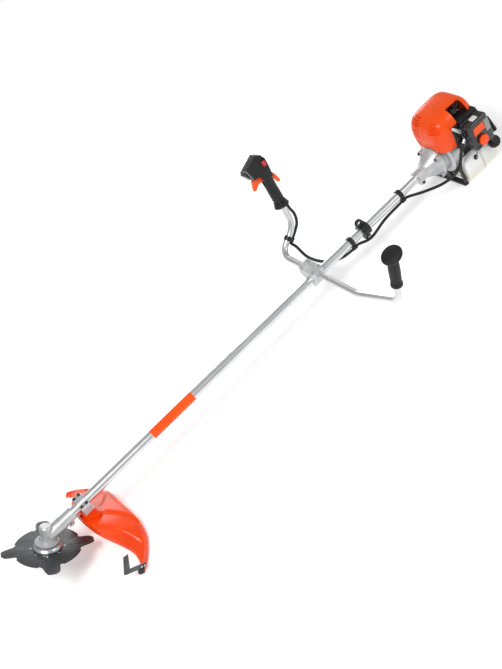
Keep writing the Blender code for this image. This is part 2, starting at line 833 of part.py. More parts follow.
def build_cable():
    collar = RIGHT @ Vector((-0.0160, 0, -GAP))
    clips = [Vector((station, at.y, at.z)) for station, at in zip(CLIP_STATIONS, CABLE_AT_CLIPS)]
    points = [
        collar,
        collar - 0.018 * RIGHT_AXIS,
        Vector((1.168, 0.157, 0.098)),
        Vector((1.157, 0.153, 0.069)),
        CABLE_AT_BAR + 0.010 * BAR_RUN,
        CABLE_AT_BAR - 0.010 * BAR_RUN,
        Vector((1.109, 0.128, 0.026)),
        Vector((1.106, 0.088, 0.005)),
        Vector((1.117, 0.055, -0.011)),
        Vector((1.137, 0.026, -0.021)),
        Vector((1.166, 0.003, -0.0225)),
        clips[0] - 0.014 * X_AXIS,
        clips[0] + 0.014 * X_AXIS,
        Vector((1.268, -0.023, -0.0240)),
        Vector((1.340, -0.0140, -0.0180)),
        clips[1] - 0.014 * X_AXIS,
        clips[1] + 0.012 * X_AXIS,
        Vector((1.485, -0.040, -0.026)),
        Vector((1.536, -0.064, -0.033)),
        Vector((1.578, -0.079, -0.028)),
        Vector((1.603, -0.087, -0.009)),
        Vector((1.618, -0.089, 0.018)),
        Vector((1.634, -0.0885, 0.040)),
        Vector((1.6512, -0.0880, 0.052)),
    ]
    curve = bpy.data.curves.new("throttle_cable", "CURVE")
    curve.dimensions = "3D"
    curve.bevel_depth = CABLE_R
    curve.bevel_resolution = 2
    curve.use_fill_caps = True
    spline = curve.splines.new("POLY")
    route = smooth_route(points, 2.4 * 2 * CABLE_R)
    spline.points.add(len(route) - 1)
    for point, place in zip(spline.points, route):
        point.co = (*place, 1)
    made = link("throttle_cable", curve, HERE)
    curve.materials.append(finish_of("black_plastic"))
    return made


# ---------------------------------------------------------------- clutch and crank


def build_clutch():
    housing = (
        (TUBE_R + GAP, HOUSING_FRONT),
        (0.0215, HOUSING_FRONT),
        (0.0215, 1.528),
        (0.0240, 1.538),
        (0.0330, 1.557),
        (0.0440, 1.5735),
        (0.0500, 1.580),
        (0.0500, 1.588),
        (0.0475, 1.590),
        (0.0475, HOUSING_REAR),
        (0.0410, HOUSING_REAR),
        (0.0410, 1.5775),
        (0.0115, 1.5775),
        (0.0115, 1.5345),
        (TUBE_R + GAP, 1.5345),
    )
    ears = block((1.504, -0.009, -0.031), (1.524, 0.009, -0.019), 0.002, 1)
    piece("clutch_housing", "cast_aluminium", turned(housing, 32, ring=True), ALONG_TUBE, add=[(ears, HERE)])
    drum = (
        (0, 1.5835),
        (0.0355, 1.5835),
        (0.0355, 1.6010),
        (DRUM_R, 1.6010),
        (DRUM_R, 1.5800),
        (0.0080, 1.5800),
        (0.0080, 1.5520),
        (SHAFT_R + GAP, 1.5520),
        (SHAFT_R + GAP, SHAFT_END + GAP),
        (0, SHAFT_END + GAP),
    )
    piece("clutch_drum", "steel", turned(drum), ALONG_TUBE)
    sweep = radians(70)
    for count, side in enumerate((1, -1), 1):
        middle = pi / 2 - side * pi / 2
        outline = arc((0, 0), SHOE_R, middle - sweep, middle + sweep, 12)
        outline += arc((0, 0), 0.0130, middle + sweep, middle - sweep, 8)
        pivot = shoe_pivot(side)
        hole = rod(pivot - 0.02 * X_AXIS, pivot + 0.02 * X_AXIS, 0.0033, 12)
        shoe = slab(outline, 1.585, 1.599)
        piece(f"clutch_shoe_{count}", "steel", shoe, ALONG_TUBE, cut=[hole], origin=pivot)


def shoe_pivot(side):
    """Where a clutch shoe turns on its pin, near one end of the shoe."""
    angle = pi / 2 - side * pi / 2 - radians(55)
    return ALONG_TUBE @ Vector((0.024 * cos(angle), 0.024 * sin(angle), 1.592))


def build_crank():
    pins = [rod(shoe_pivot(s) - 0.005 * X_AXIS, shoe_pivot(s) + 0.020 * X_AXIS, 0.003, 12) for s in (1, -1)]
    piece(
        "flywheel",
        "cast_aluminium",
        disc(FAN_R, 1.6235, 1.6330, 32),
        ALONG_TUBE,
        add=[
            (slab(lobed_outline(0.034, 0.0525, 12, 0.16), 1.6085, 1.6245), ALONG_TUBE),
            (disc(0.0310, 1.6040, 1.6100), ALONG_TUBE),
            *pins,
        ],
        cut=[(disc(0.0078, 1.59, 1.65, 16), ALONG_TUBE)],
    )
    journal = disc(0.0075, 1.6035, 1.6580, 16)
    pin_at = Vector((0, 0, CRANK_THROW))
    pin = rod(Vector((1.660, 0, 0)) + pin_at, Vector((1.6755, 0, 0)) + pin_at, 0.006)
    piece(
        "crankshaft", "steel", journal, ALONG_TUBE, add=[(disc(0.026, 1.6570, 1.6670), ALONG_TUBE), pin]
    )


def build_crankcase():
    shroud = (
        (0.0410, HOUSING_REAR + GAP),
        (0.0560, HOUSING_REAR + GAP),
        (SHROUD_R, 1.6080),
        (SHROUD_R, SHROUD_REAR),
        (0.0605, SHROUD_REAR),
        (0.0605, 1.6090),
        (0.0550, 1.6053),
        (0.0410, 1.6053),
    )
    piece("fan_housing", "cast_aluminium", turned(shroud, 32, ring=True), ALONG_TUBE)
    front = SHROUD_REAR + GAP
    case = (
        (0, front),
        (SHROUD_R, front),
        (SHROUD_R, 1.6460),
        (0.0430, 1.6480),
        (0.0430, CASE_REAR),
        (0, CASE_REAR),
    )
    seat = block((1.652, -0.031, 0.010), (1.708, 0.031, CYLINDER_BASE - GAP))
    piece(
        "crankcase",
        "cast_aluminium",
        turned(case, 32),
        ALONG_TUBE,
        add=[(seat, HERE)],
        cut=[
            (disc(0.0345, 1.654, 1.706), ALONG_TUBE),
            (disc(0.0080, 1.63, 1.66, 16), ALONG_TUBE),
            rod((CYLINDER_X, 0, 0.01), (CYLINDER_X, 0, 0.06), 0.0226, 24),
        ],
    )


# ---------------------------------------------------------------- cylinder and its fittings


def build_cylinder():
    profile = [(0, 0.112), (0.014, 0.112), (0.022, 0.1075)]
    fins = 6
    for fin in range(fins):
        top = 0.1055 - 0.0088 * fin
        profile += [(0.0315, top), (0.0315, top - 0.0026), (0.0265, top - 0.0030)]
        if fin < fins - 1:
            profile.append((0.0265, top - 0.0084))
    profile += [(0.0265, 0.0500), (0.0300, 0.0500), (0.0300, CYLINDER_BASE), (0, CYLINDER_BASE)]
    piece(
        "cylinder",
        "cast_aluminium",
        turned(profile, 24),
        UPRIGHT,
        cut=[
            (disc(BORE_R, 0.03, 0.0905), UPRIGHT),
            (disc(0.0074, -0.014, 0.04, 16), PLUG),
            (disc(0.0125, 0.0090, 0.06, 16), PLUG),
        ],
    )
    skirt_r = BORE_R - 0.0004
    crown = turned(
        ((0, 0.088), (skirt_r, 0.088), (skirt_r, 0.062), (0.0180, 0.062), (0.0180, 0.0815), (0, 0.0815))
    )
    wrist = rod((CYLINDER_X - 0.0195, 0, WRIST_Z), (CYLINDER_X + 0.0195, 0, WRIST_Z), 0.0055)
    piece("piston", "aluminium", crown, UPRIGHT, add=[wrist])
    near, far = CYLINDER_X - 0.004, CYLINDER_X + 0.004
    shank = block((near, -0.0045, CRANK_THROW + 0.004), (far, 0.0045, WRIST_Z - 0.004))
    small_end = rod((near, 0, WRIST_Z), (far, 0, WRIST_Z), 0.0087, 20)
    big_end = rod((near, 0, CRANK_THROW), (far, 0, CRANK_THROW), 0.0115, 20)
    eyes = [
        rod((near - 0.01, 0, WRIST_Z), (far + 0.01, 0, WRIST_Z), 0.0058),
        rod((near - 0.01, 0, CRANK_THROW), (far + 0.01, 0, CRANK_THROW), 0.0064),
    ]
    wrist_pin = (CYLINDER_X, 0, WRIST_Z)
    piece("connecting_rod", "steel", shank, add=[small_end, big_end], cut=eyes, origin=wrist_pin)


def build_spark_plug():
    plug = (
        (0, -0.0060),
        (0.0070, -0.0060),
        (0.0070, 0.0095),
        (0.0105, 0.0100),
        (0.0105, 0.0160),
        (0.0055, 0.0170),
        (0.0050, 0.0310),
        (0.0030, 0.0320),
        (0.0030, 0.0360),
        (0, 0.0360),
    )
    piece("spark_plug", "steel", turned(plug, 12), PLUG)
    boot = (
        (0, 0.0500),
        (0.0080, 0.0500),
        (0.0105, 0.0470),
        (0.0105, 0.0180),
        (0.0060, 0.0180),
        (0.0060, 0.0370),
        (0, 0.0370),
    )
    piece("plug_cap", "rubber", turned(boot, 16), PLUG)


def build_muffler():
    box = block((1.654, 0.0380, 0.040), (1.702, 0.0660, 0.098), 0.006, 2)
    port = rod((CYLINDER_X, 0.0325, 0.066), (CYLINDER_X, 0.0450, 0.066), 0.011)
    outlet = rod((1.690, 0.060, 0.052), (1.690, 0.0745, 0.048), 0.006, 12)
    outlet_bore = rod((1.690, 0.0655, 0.0505), (1.690, 0.080, 0.0465), 0.0045, 12)
    piece("muffler", "steel", box, add=[port, outlet], cut=[outlet_bore])


def cover_ring(front, rear, half_width, height, inset=0.0, count=32):
    """A rounded plan outline of the engine cover at one height."""
    power = 2 / 4
    middle, reach = (front + rear) / 2, (rear - front) / 2 - inset
    points = []
    for i in range(count):
        angle = tau * (i + 0.5) / count
        c, s = cos(angle), sin(angle)
        x = middle + reach * abs(c) ** power * (1 if c > 0 else -1)
        y = (half_width - inset) * abs(s) ** power * (1 if s > 0 else -1)
        points.append((x, y, height))
    return points


COVER_LEVELS = (
    (1.586, 1.738, 0.0725, 0.022),
    (1.581, 1.742, 0.0765, 0.070),
    (1.584, 1.741, 0.0755, 0.105),
    (1.595, 1.735, 0.0670, 0.130),
    (1.613, 1.724, 0.0520, 0.1445),
    (1.633, 1.708, 0.0350, 0.1505),
)
COVER_WALL = 0.0025


def build_engine_cover():
    outside = lofted([cover_ring(*level) for level in COVER_LEVELS])
    inner_levels = [(1.585, 1.739, 0.0721, 0.012), *COVER_LEVELS[1:]]
    rings = []
    for front, rear, half_width, height in inner_levels:
        drop = 0 if height < 0.1 else COVER_WALL
        rings.append(cover_ring(front, rear, half_width, height - drop, COVER_WALL))
    inside = lofted(rings)
    vents = []
    for row in range(5):
        low = 0.058 + 0.0105 * row
        vents.append((block((1.57, 0.012, low), (1.59, 0.050, low + 0.0045)), HERE))
        vents.append((block((1.655, 0.060, low + 0.010), (1.705, 0.090, low + 0.0145)), HERE))
    piece(
        "engine_cover",
        "orange",
        outside,
        cut=[
            (inside, HERE),
            (disc(0.0520, 1.57, 1.605), ALONG_TUBE),
            (disc(0.0650, 1.6005, 1.645), ALONG_TUBE),
            (block((1.678, 0.060, 0.034), (1.702, 0.090, 0.061)), HERE),
            (disc(0.0680, 1.712, 1.80), ALONG_TUBE),
            (block((1.653, -0.100, -0.010), (1.760, -0.050, 0.107)), HERE),
            (block((1.664, -0.100, 0.098), (1.712, -0.026, 0.160), 0.006, 2), HERE),
            *vents,
        ],
    )


# ---------------------------------------------------------------- intake side


THROAT = Vector((1.694, 0, 0.058))
THROTTLE_PIVOT = Vector((1.705, -0.062, 0.0785))
CHOKE_PIVOT = Vector((1.6465, -0.0917, 0.087))
KNOB_AT = Vector((1.685, -0.1265, 0.037))


def build_intake():
    body = block((1.676, -0.0815, 0.040), (1.713, -0.048, 0.076), 0.002, 1)
    stub_start = Vector((THROAT.x - 0.008, -0.0345, THROAT.z))
    stub = rod(stub_start, (THROAT.x - 0.004, -0.052, THROAT.z), 0.011)
    throat = rod((THROAT.x, -0.09, THROAT.z), (THROAT.x, -0.030, THROAT.z), 0.0065, 12)
    piece("carburettor", "cast_aluminium", body, add=[stub], cut=[throat])
    outline = arc((0, 0), 0.0055, pi / 2, 3 * pi / 2, 7) + arc((0.019, 0), 0.0035, -pi / 2, pi / 2, 5)
    lever = frame_at(THROTTLE_PIVOT, Z_AXIS, (-0.5, 0.86, 0))
    piece("carburettor_lever", "steel", slab(outline, -0.0020, 0.0005), lever)
    backing = block((1.6548, -0.0925, 0.010), (1.731, -0.0820, 0.104), 0.003, 1)
    ear = block((1.640, -0.0905, 0.079), (1.658, -0.0850, 0.095), 0.001, 1)
    mouth = rod((THROAT.x, -0.10, THROAT.z), (THROAT.x, -0.07, THROAT.z), 0.009)
    piece("air_filter_base", "black_plastic", backing, add=[(ear, HERE)], cut=[mouth])
    shell = block((1.6545, -0.1260, 0.0095), (1.7315, -0.0928, 0.1045), 0.009, 3)
    room = block((1.6600, -0.1215, 0.0150), (1.7260, -0.0800, 0.0990), 0.005, 1)
    stud_hole = rod(KNOB_AT + Vector((0, 0.02, 0)), KNOB_AT - Vector((0, 0.01, 0)), 0.0040, 12)
    piece("air_filter_cover", "black_plastic", shell, cut=[(room, HERE), stud_hole])
    knob_place = frame_at(KNOB_AT, -Y_AXIS, X_AXIS)
    grip = slab(lobed_outline(0.0140, 0.0165, 8, 0.45, 3), 0, 0.011)
    piece("air_filter_knob", "orange", grip, knob_place, add=[(disc(0.0036, -0.008, 0.002, 12), knob_place)])
    outline = arc((0, 0), 0.0060, pi / 2, 3 * pi / 2, 7) + arc((0.036, 0), 0.0042, -pi / 2, pi / 2, 5)
    lever = frame_at(CHOKE_PIVOT, -Y_AXIS, (-0.60, 0, 0.80))
    piece("choke_lever", "steel", slab(outline, -0.0008, 0.0008), lever)


# ---------------------------------------------------------------- tank, foot and starter


CAP_AXIS = Vector((0.10, -0.80, 0.59)).normalized()
CAP_AT = Vector((1.7345, -0.0850, -0.0345))
NECK = frame_at(CAP_AT, CAP_AXIS, X_AXIS)
STARTER_AXIS_END = 1.760
HANDLE_AT = Vector((1.757, -0.0840, 0.0225))
HANDLE_BAR = Vector((0, -0.40, -0.92)).normalized()
PULL = Vector((0, -0.92, 0.40)).normalized()


def tank_outline(inset):
    """The tank's section across the tube: rounded below, hollowed above to clear the shroud."""
    half, top, bottom = 0.088 - inset, -0.014 - inset, -0.0945 + inset
    corner = 0.013 - inset
    hollow = SHROUD_R + 0.0032 + inset
    start = atan2(top, (hollow**2 - top**2) ** 0.5)
    outline = arc((half - corner, bottom + corner), corner, -pi / 2, 0, 4)
    outline += [(half, top - 0.0125), (half - 0.0095, top)]
    outline += arc((0, 0), hollow, start, -pi - start, 16)
    outline += [(0.0095 - half, top), (-half, top - 0.0125)]
    outline += arc((-half + corner, bottom + corner), corner, -pi, -pi / 2, 4)
    return outline


def build_tank():
    outside = slab(tank_outline(0), TANK_FRONT, TANK_REAR)
    inside = slab(tank_outline(TANK_WALL), TANK_FRONT + TANK_WALL, TANK_REAR - TANK_WALL)
    neck = disc(0.0130, -0.006, 0.016)
    bore = disc(0.0100, -0.012, 0.020)
    hollow = [(inside, ALONG_TUBE), (bore, NECK)]
    piece("fuel_tank", "white_tank", outside, ALONG_TUBE, add=[(neck, NECK)], cut=hollow)
    cap = turned(
        (
            (0, 0.029),
            (0.0165, 0.029),
            (0.0190, 0.0265),
            (0.0190, 0.0090),
            (0.0135, 0.0090),
            (0.0135, 0.0165),
            (0, 0.0165),
        )
    )
    piece("fuel_cap", "black_plastic", cap, NECK)


def build_foot(lean):
    """A U-shaped stand ahead of the tank. Its sole is level when the machine stands."""
    turn = Matrix.Rotation(-lean, 4, "Y")
    place = Matrix.Translation((FOOT_X, 0, FOOT_Z)) @ turn
    half = 0.070
    sole = block((-0.008, -half, 0), (0.008, half, 0.008))
    legs = []
    for side in (-half, half):
        legs.append((block((-0.004, side - 0.0045, 0.002), (0.004, side + 0.0045, 0.074)), place))
    post = block((-0.0055, -0.014, 0.004), (0.004, 0.014, -FOOT_Z - SHROUD_R - 0.0006))
    piece("foot_stand", "black_plastic", sole, place, add=[*legs, (post, place)])


def build_starter():
    front = CASE_REAR + GAP
    cup = (
        (0.0560, front),
        (0.0645, front),
        (0.0660, front + 0.004),
        (0.0660, 1.7500),
        (0.0600, 1.7580),
        (0.0300, STARTER_AXIS_END),
        (0, STARTER_AXIS_END),
        (0, front + 0.006),
        (0.0060, front + 0.006),
        (0.0060, 1.7550),
        (0.0560, 1.7520),
    )
    exit_at = HANDLE_AT - 0.014 * PULL
    rope_hole = rod(exit_at + 0.05 * -PULL, exit_at + 0.05 * PULL, 0.0035, 12)
    piece("starter_housing", "black_plastic", turned(cup, 32, ring=True), ALONG_TUBE, cut=[rope_hole])
    pulley = (
        (0.0064, 1.7280),
        (0.0420, 1.7280),
        (0.0420, 1.7305),
        (0.0360, 1.7335),
        (0.0420, 1.7365),
        (0.0420, 1.7390),
        (0.0064, 1.7390),
    )
    piece("starter_pulley", "black_plastic", turned(pulley, 24, ring=True), ALONG_TUBE)
    bar = frame_at(HANDLE_AT, HANDLE_BAR, PULL)
    grip = turned(
        ((0, -0.026), (0.0060, -0.026), (0.0085, -0.022), (0.0085, 0.022), (0.0060, 0.026), (0, 0.026)), 16
    )
    stem = rod(HANDLE_AT, HANDLE_AT - 0.0135 * PULL, 0.0050, 12)
    piece("starter_handle", "black_plastic", grip, bar, add=[stem])


# ---------------------------------------------------------------- stance


def stance_lean():
    """The angle that brings the guard's rim down to the level of the foot's sole."""
    angles = []
    for side, front, rear in guard_stations():
        for b, n in guard_section(side, front, rear):
            corner = HEAD @ Vector((b, 0, n))
            angles.append(atan2(FOOT_Z - corner.z, FOOT_X - corner.x))
    return max(angles)


def main():
    clear_scene()
    lean = stance_lean()
    stance = bpy.data.objects.new("stance", None)
    bpy.context.scene.collection.objects.link(stance)
    tip = Matrix.Rotation(lean, 4, "Y")
    stance.matrix_world = tip @ Matrix.Translation((-FOOT_X, 0, -FOOT_Z))
    build_gearcase()
    build_gears()
    build_spindle()
    build_blade()
    build_guard()
    build_guard_fittings()
    build_driveline()
    build_handlebar()
    build_bar_clamp()
    build_left_grip()
    build_throttle_grip()
    build_hanger()
    build_clips()
    build_cable()
    build_clutch()
    build_crank()
    build_crankcase()
    build_cylinder()
    build_spark_plug()
    build_muffler()
    build_engine_cover()
    build_intake()
    build_tank()
    build_foot(lean)
    build_starter()


main()
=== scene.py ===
"""Looks for the petrol brush cutter: finished materials, finer shapes and small fittings on its frame.

Shapes are given in the working frame of the machine: the origin is in the gear head where the shaft's
axis meets the blade's, +X runs along the tube to the engine, +Y is the operator's right, +Z is up.
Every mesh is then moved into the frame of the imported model, so its object stays at the origin.
"""

import json
from math import asin, ceil, cos, pi, radians, sin, tau

import bmesh
import bpy
from mathutils import Matrix, Vector
from mathutils.bvhtree import BVHTree


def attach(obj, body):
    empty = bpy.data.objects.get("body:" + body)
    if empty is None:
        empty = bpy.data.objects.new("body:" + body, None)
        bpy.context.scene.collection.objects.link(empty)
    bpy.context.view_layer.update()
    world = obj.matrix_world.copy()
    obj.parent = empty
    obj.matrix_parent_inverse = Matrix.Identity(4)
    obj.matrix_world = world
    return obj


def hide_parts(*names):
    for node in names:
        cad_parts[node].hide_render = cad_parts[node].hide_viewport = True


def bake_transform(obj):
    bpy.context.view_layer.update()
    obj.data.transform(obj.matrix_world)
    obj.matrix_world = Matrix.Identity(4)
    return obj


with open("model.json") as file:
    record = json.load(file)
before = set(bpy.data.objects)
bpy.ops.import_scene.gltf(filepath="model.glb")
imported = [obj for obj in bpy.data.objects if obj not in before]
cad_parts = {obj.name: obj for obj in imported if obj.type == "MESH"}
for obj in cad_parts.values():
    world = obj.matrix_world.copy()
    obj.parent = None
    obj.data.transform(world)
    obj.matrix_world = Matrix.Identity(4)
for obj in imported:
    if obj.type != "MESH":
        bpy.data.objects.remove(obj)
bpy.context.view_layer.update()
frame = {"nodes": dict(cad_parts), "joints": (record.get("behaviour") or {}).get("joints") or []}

# ---------------------------------------------------------------- frames

JOINTS = {joint["name"]: joint for joint in frame["joints"]}
X_AXIS = Vector((1, 0, 0))
Y_AXIS = Vector((0, 1, 0))
Z_AXIS = Vector((0, 0, 1))


def axis_of(joint):
    return Vector(JOINTS[joint]["axis"]).normalized()


def pivot_of(joint):
    return Vector(JOINTS[joint]["pos_m"])


def placement(origin, x_axis, y_axis, z_axis):
    turn = Matrix((x_axis, y_axis, z_axis)).transposed().to_4x4()
    return Matrix.Translation(origin) @ turn


def frame_at(origin, z_axis, x_hint):
    """The placement whose +Z is z_axis, and whose +X is as near to x_hint as that allows."""
    up = Vector(z_axis).normalized()
    side = up.cross(Vector(x_hint)).normalized()
    return placement(origin, side.cross(up), side, up)


ALONG = axis_of("drive_shaft_spin")
MACHINE = placement(pivot_of("blade_spin"), ALONG, Y_AXIS, ALONG.cross(Y_AXIS))
HERE = Matrix.Identity(4)
ALONG_TUBE = frame_at((0, 0, 0), X_AXIS, Y_AXIS)
HEAD_ANGLE = radians(30)
HEAD = frame_at((0, 0, 0), (sin(HEAD_ANGLE), 0, cos(HEAD_ANGLE)), X_AXIS)
SIDEWAYS = frame_at((0, 0, 0), Y_AXIS, X_AXIS)

# Handlebar, as in the CAD
TUBE_R = 0.014
BAR_R = 0.0095
CLAMP_X = 1.063
BAR_Z = 0.025
LEFT_BENDS = (Vector((CLAMP_X, -0.210, BAR_Z)), Vector((1.0875, -0.376, 0.057)))
LEFT_AXIS = Vector((0.145, -0.190, 0.970)).normalized()
RIGHT_BENDS = (Vector((CLAMP_X, 0.150, BAR_Z)), Vector((1.1445, 0.150, 0.076)))
RIGHT_AXIS = Vector((0.093, 0.232, 0.968)).normalized()
RIGHT_GRIP_BASE = RIGHT_BENDS[1] + 0.071 * RIGHT_AXIS
LEFT = frame_at(LEFT_BENDS[1], LEFT_AXIS, -X_AXIS)
RIGHT = frame_at(RIGHT_GRIP_BASE, RIGHT_AXIS, -X_AXIS)
PLUG = frame_at((1.680, -0.0132, 0.1005), (-0.05, -0.82, 0.57), X_AXIS)


# ---------------------------------------------------------------- materials


def sockets(node, **values):
    for name, value in values.items():
        node.inputs[name.replace("_", " ")].default_value = value


class Surface:
    """A procedural material, built up from a few kinds of layer in the object's own coordinates."""

    def __init__(self, name):
        self.material = bpy.data.materials.new(name)
        self.material.use_nodes = True
        self.tree = self.material.node_tree
        self.shader = self.tree.nodes["Principled BSDF"]
        self.place = self.node("ShaderNodeTexCoord").outputs["Object"]

    def node(self, kind, **settings):
        made = self.tree.nodes.new(kind)
        for name, value in settings.items():
            setattr(made, name, value)
        return made

    def link(self, source, target):
        self.tree.links.new(source, target)

    def stretched(self, stretch):
        mapping = self.node("ShaderNodeMapping")
        mapping.inputs["Scale"].default_value = stretch
        self.link(self.place, mapping.inputs["Vector"])
        return mapping.outputs["Vector"]

    def noise(self, scale, detail=3.0, roughness=0.5, stretch=(1, 1, 1)):
        made = self.node("ShaderNodeTexNoise")
        sockets(made, Scale=scale, Detail=detail, Roughness=roughness)
        self.link(self.stretched(stretch), made.inputs["Vector"])
        return made.outputs["Fac"]

    def mapped(self, value, low, high, to_low, to_high):
        made = self.node("ShaderNodeMapRange")
        sockets(made, From_Min=low, From_Max=high, To_Min=to_low, To_Max=to_high)
        self.link(value, made.inputs["Value"])
        return made.outputs["Result"]

    def colours(self, value, *stops):
        """A colour ramp through (position, colour) stops."""
        made = self.node("ShaderNodeValToRGB")
        ramp = made.color_ramp
        while len(ramp.elements) < len(stops):
            ramp.elements.new(0.5)
        for element, (position, colour) in zip(ramp.elements, stops):
            element.position = position
            element.color = (*colour, 1)
        self.link(value, made.inputs["Fac"])
        return made.outputs["Color"]

    def mixed(self, share, first, second):
        made = self.node("ShaderNodeMix", data_type="RGBA")
        self.link(share, made.inputs[0])
        for value, target in ((first, made.inputs[6]), (second, made.inputs[7])):
            if isinstance(value, tuple):
                target.default_value = (*value, 1)
            else:
                self.link(value, target)
        return made.outputs[2]

    def base(self, colour):
        self.link(colour, self.shader.inputs["Base Color"])

    def roughness(self, value):
        self.link(value, self.shader.inputs["Roughness"])

    def bump(self, height, distance, strength=1.0, below=None):
        made = self.node("ShaderNodeBump")
        sockets(made, Strength=strength, Distance=distance)
        self.link(height, made.inputs["Height"])
        if below is not None:
            self.link(below, made.inputs["Normal"])
        self.link(made.outputs["Normal"], self.shader.inputs["Normal"])
        return made.outputs["Normal"]


def varied(name, dark, light, rough, grain, depth, metallic=0.0, stretch=(1, 1, 1), patch=14.0, **shine):
    """A surface whose colour drifts between two tones, with fine grain and uneven gloss."""
    made = Surface(name)
    drift = made.noise(patch, 4.0, 0.6)
    fine = made.noise(grain, 3.0, 0.6, stretch)
    scuffs = made.noise(90.0, 6.0, 0.7)
    tone = made.colours(drift, (0.30, dark), (0.70, light))
    worn = tuple(min(1.0, 1.2 * c + 0.012) for c in light)
    made.base(made.mixed(made.mapped(scuffs, 0.60, 0.80, 0.0, 0.35), tone, worn))
    spread = 0.20 * rough
    made.roughness(made.mapped(made.noise(45.0, 5.0, 0.65), 0.3, 0.7, rough - spread, rough + spread))
    made.bump(fine, depth, 0.6)
    made.shader.inputs["Metallic"].default_value = metallic
    for socket, value in shine.items():
        made.shader.inputs[socket.replace("_", " ")].default_value = value
    return made


def drawn_aluminium(name, stretch):
    """Satin tube, with fine lines along its length and a few faint handling marks."""
    made = Surface(name)
    lines = made.noise(900.0, 2.0, 0.5, stretch)
    drift = made.noise(9.0, 4.0, 0.6)
    tone = made.colours(drift, (0.30, (0.66, 0.67, 0.685)), (0.70, (0.79, 0.795, 0.80)))
    marks = made.mapped(made.noise(60.0, 6.0, 0.7), 0.62, 0.76, 0.0, 0.4)
    made.base(made.mixed(marks, tone, (0.55, 0.56, 0.57)))
    made.roughness(made.mapped(lines, 0.3, 0.7, 0.27, 0.38))
    made.bump(lines, 0.00003, 0.5)
    made.shader.inputs["Metallic"].default_value = 0.92
    return made


def cast_metal(name, dark, light, rough=0.46):
    """Shot-blasted casting: pitted, with dust held in its hollows."""
    made = Surface(name)
    pits = made.noise(1100.0, 3.0, 0.7)
    swell = made.noise(160.0, 3.0, 0.6)
    tone = made.colours(made.noise(22.0, 5.0, 0.6), (0.30, dark), (0.72, light))
    dust = made.mapped(swell, 0.25, 0.42, 0.5, 0.0)
    made.base(made.mixed(dust, tone, tuple(0.6 * c for c in dark)))
    made.roughness(made.mapped(pits, 0.3, 0.7, rough - 0.08, rough + 0.10))
    made.bump(pits, 0.00025, 0.5, made.bump(swell, 0.0004, 0.35))
    made.shader.inputs["Metallic"].default_value = 0.75
    return made


def lacquered_blade():
    """Black lacquer over steel. It has rubbed thin toward the tips, where bare metal shows."""
    made = Surface("blade_lacquer")
    centre = pivot_of("blade_spin")
    shift = made.node("ShaderNodeVectorMath", operation="SUBTRACT")
    shift.inputs[1].default_value = centre
    made.link(made.place, shift.inputs[0])
    length = made.node("ShaderNodeVectorMath", operation="LENGTH")
    made.link(shift.outputs["Vector"], length.inputs[0])
    far = made.mapped(length.outputs["Value"], 0.108, 0.136, 0.0, 0.55)
    scratches = made.mapped(made.noise(130.0, 7.0, 0.75, (1, 4, 1)), 0.46, 0.66, 0.0, 1.0)
    rub = made.node("ShaderNodeMath", operation="MULTIPLY")
    made.link(far, rub.inputs[0])
    made.link(scratches, rub.inputs[1])
    drift = made.noise(25.0, 5.0, 0.6)
    tone = made.colours(drift, (0.3, (0.030, 0.032, 0.034)), (0.7, (0.055, 0.058, 0.061)))
    made.base(made.mixed(rub.outputs[0], tone, (0.34, 0.345, 0.35)))
    made.roughness(made.mapped(made.noise(70.0, 5.0, 0.65), 0.3, 0.7, 0.30, 0.46))
    made.bump(made.noise(700.0, 3.0, 0.6), 0.00008, 0.5)
    made.shader.inputs["Metallic"].default_value = 0.25
    return made


def milky_tank():
    """Translucent polyethylene with fuel showing as a faint warmer level below."""
    made = Surface("milky_tank")
    apart = made.node("ShaderNodeSeparateXYZ")
    made.link(made.place, apart.inputs[0])
    level = made.mapped(apart.outputs["Z"], 0.034, 0.041, 1.0, 0.0)
    drift = made.noise(18.0, 4.0, 0.55)
    tone = made.colours(drift, (0.3, (0.80, 0.81, 0.80)), (0.7, (0.88, 0.885, 0.87)))
    made.base(made.mixed(level, tone, (0.80, 0.775, 0.70)))
    made.roughness(made.mapped(made.noise(60.0, 4.0, 0.6), 0.3, 0.7, 0.30, 0.44))
    made.bump(made.noise(500.0, 3.0, 0.6), 0.0001, 0.4)
    made.shader.inputs["Subsurface Weight"].default_value = 0.5
    made.shader.inputs["Subsurface Radius"].default_value = (0.010, 0.010, 0.009)
    made.shader.inputs["Subsurface Scale"].default_value = 1.0
    return made


def gloss_orange(name, dark, light, rough):
    made = varied(name, dark, light, rough, 700.0, 0.00005, patch=7.0)
    made.shader.inputs["Coat Weight"].default_value = 0.12
    made.shader.inputs["Coat Roughness"].default_value = 0.10
    made.shader.inputs["Specular IOR Level"].default_value = 0.30
    return made


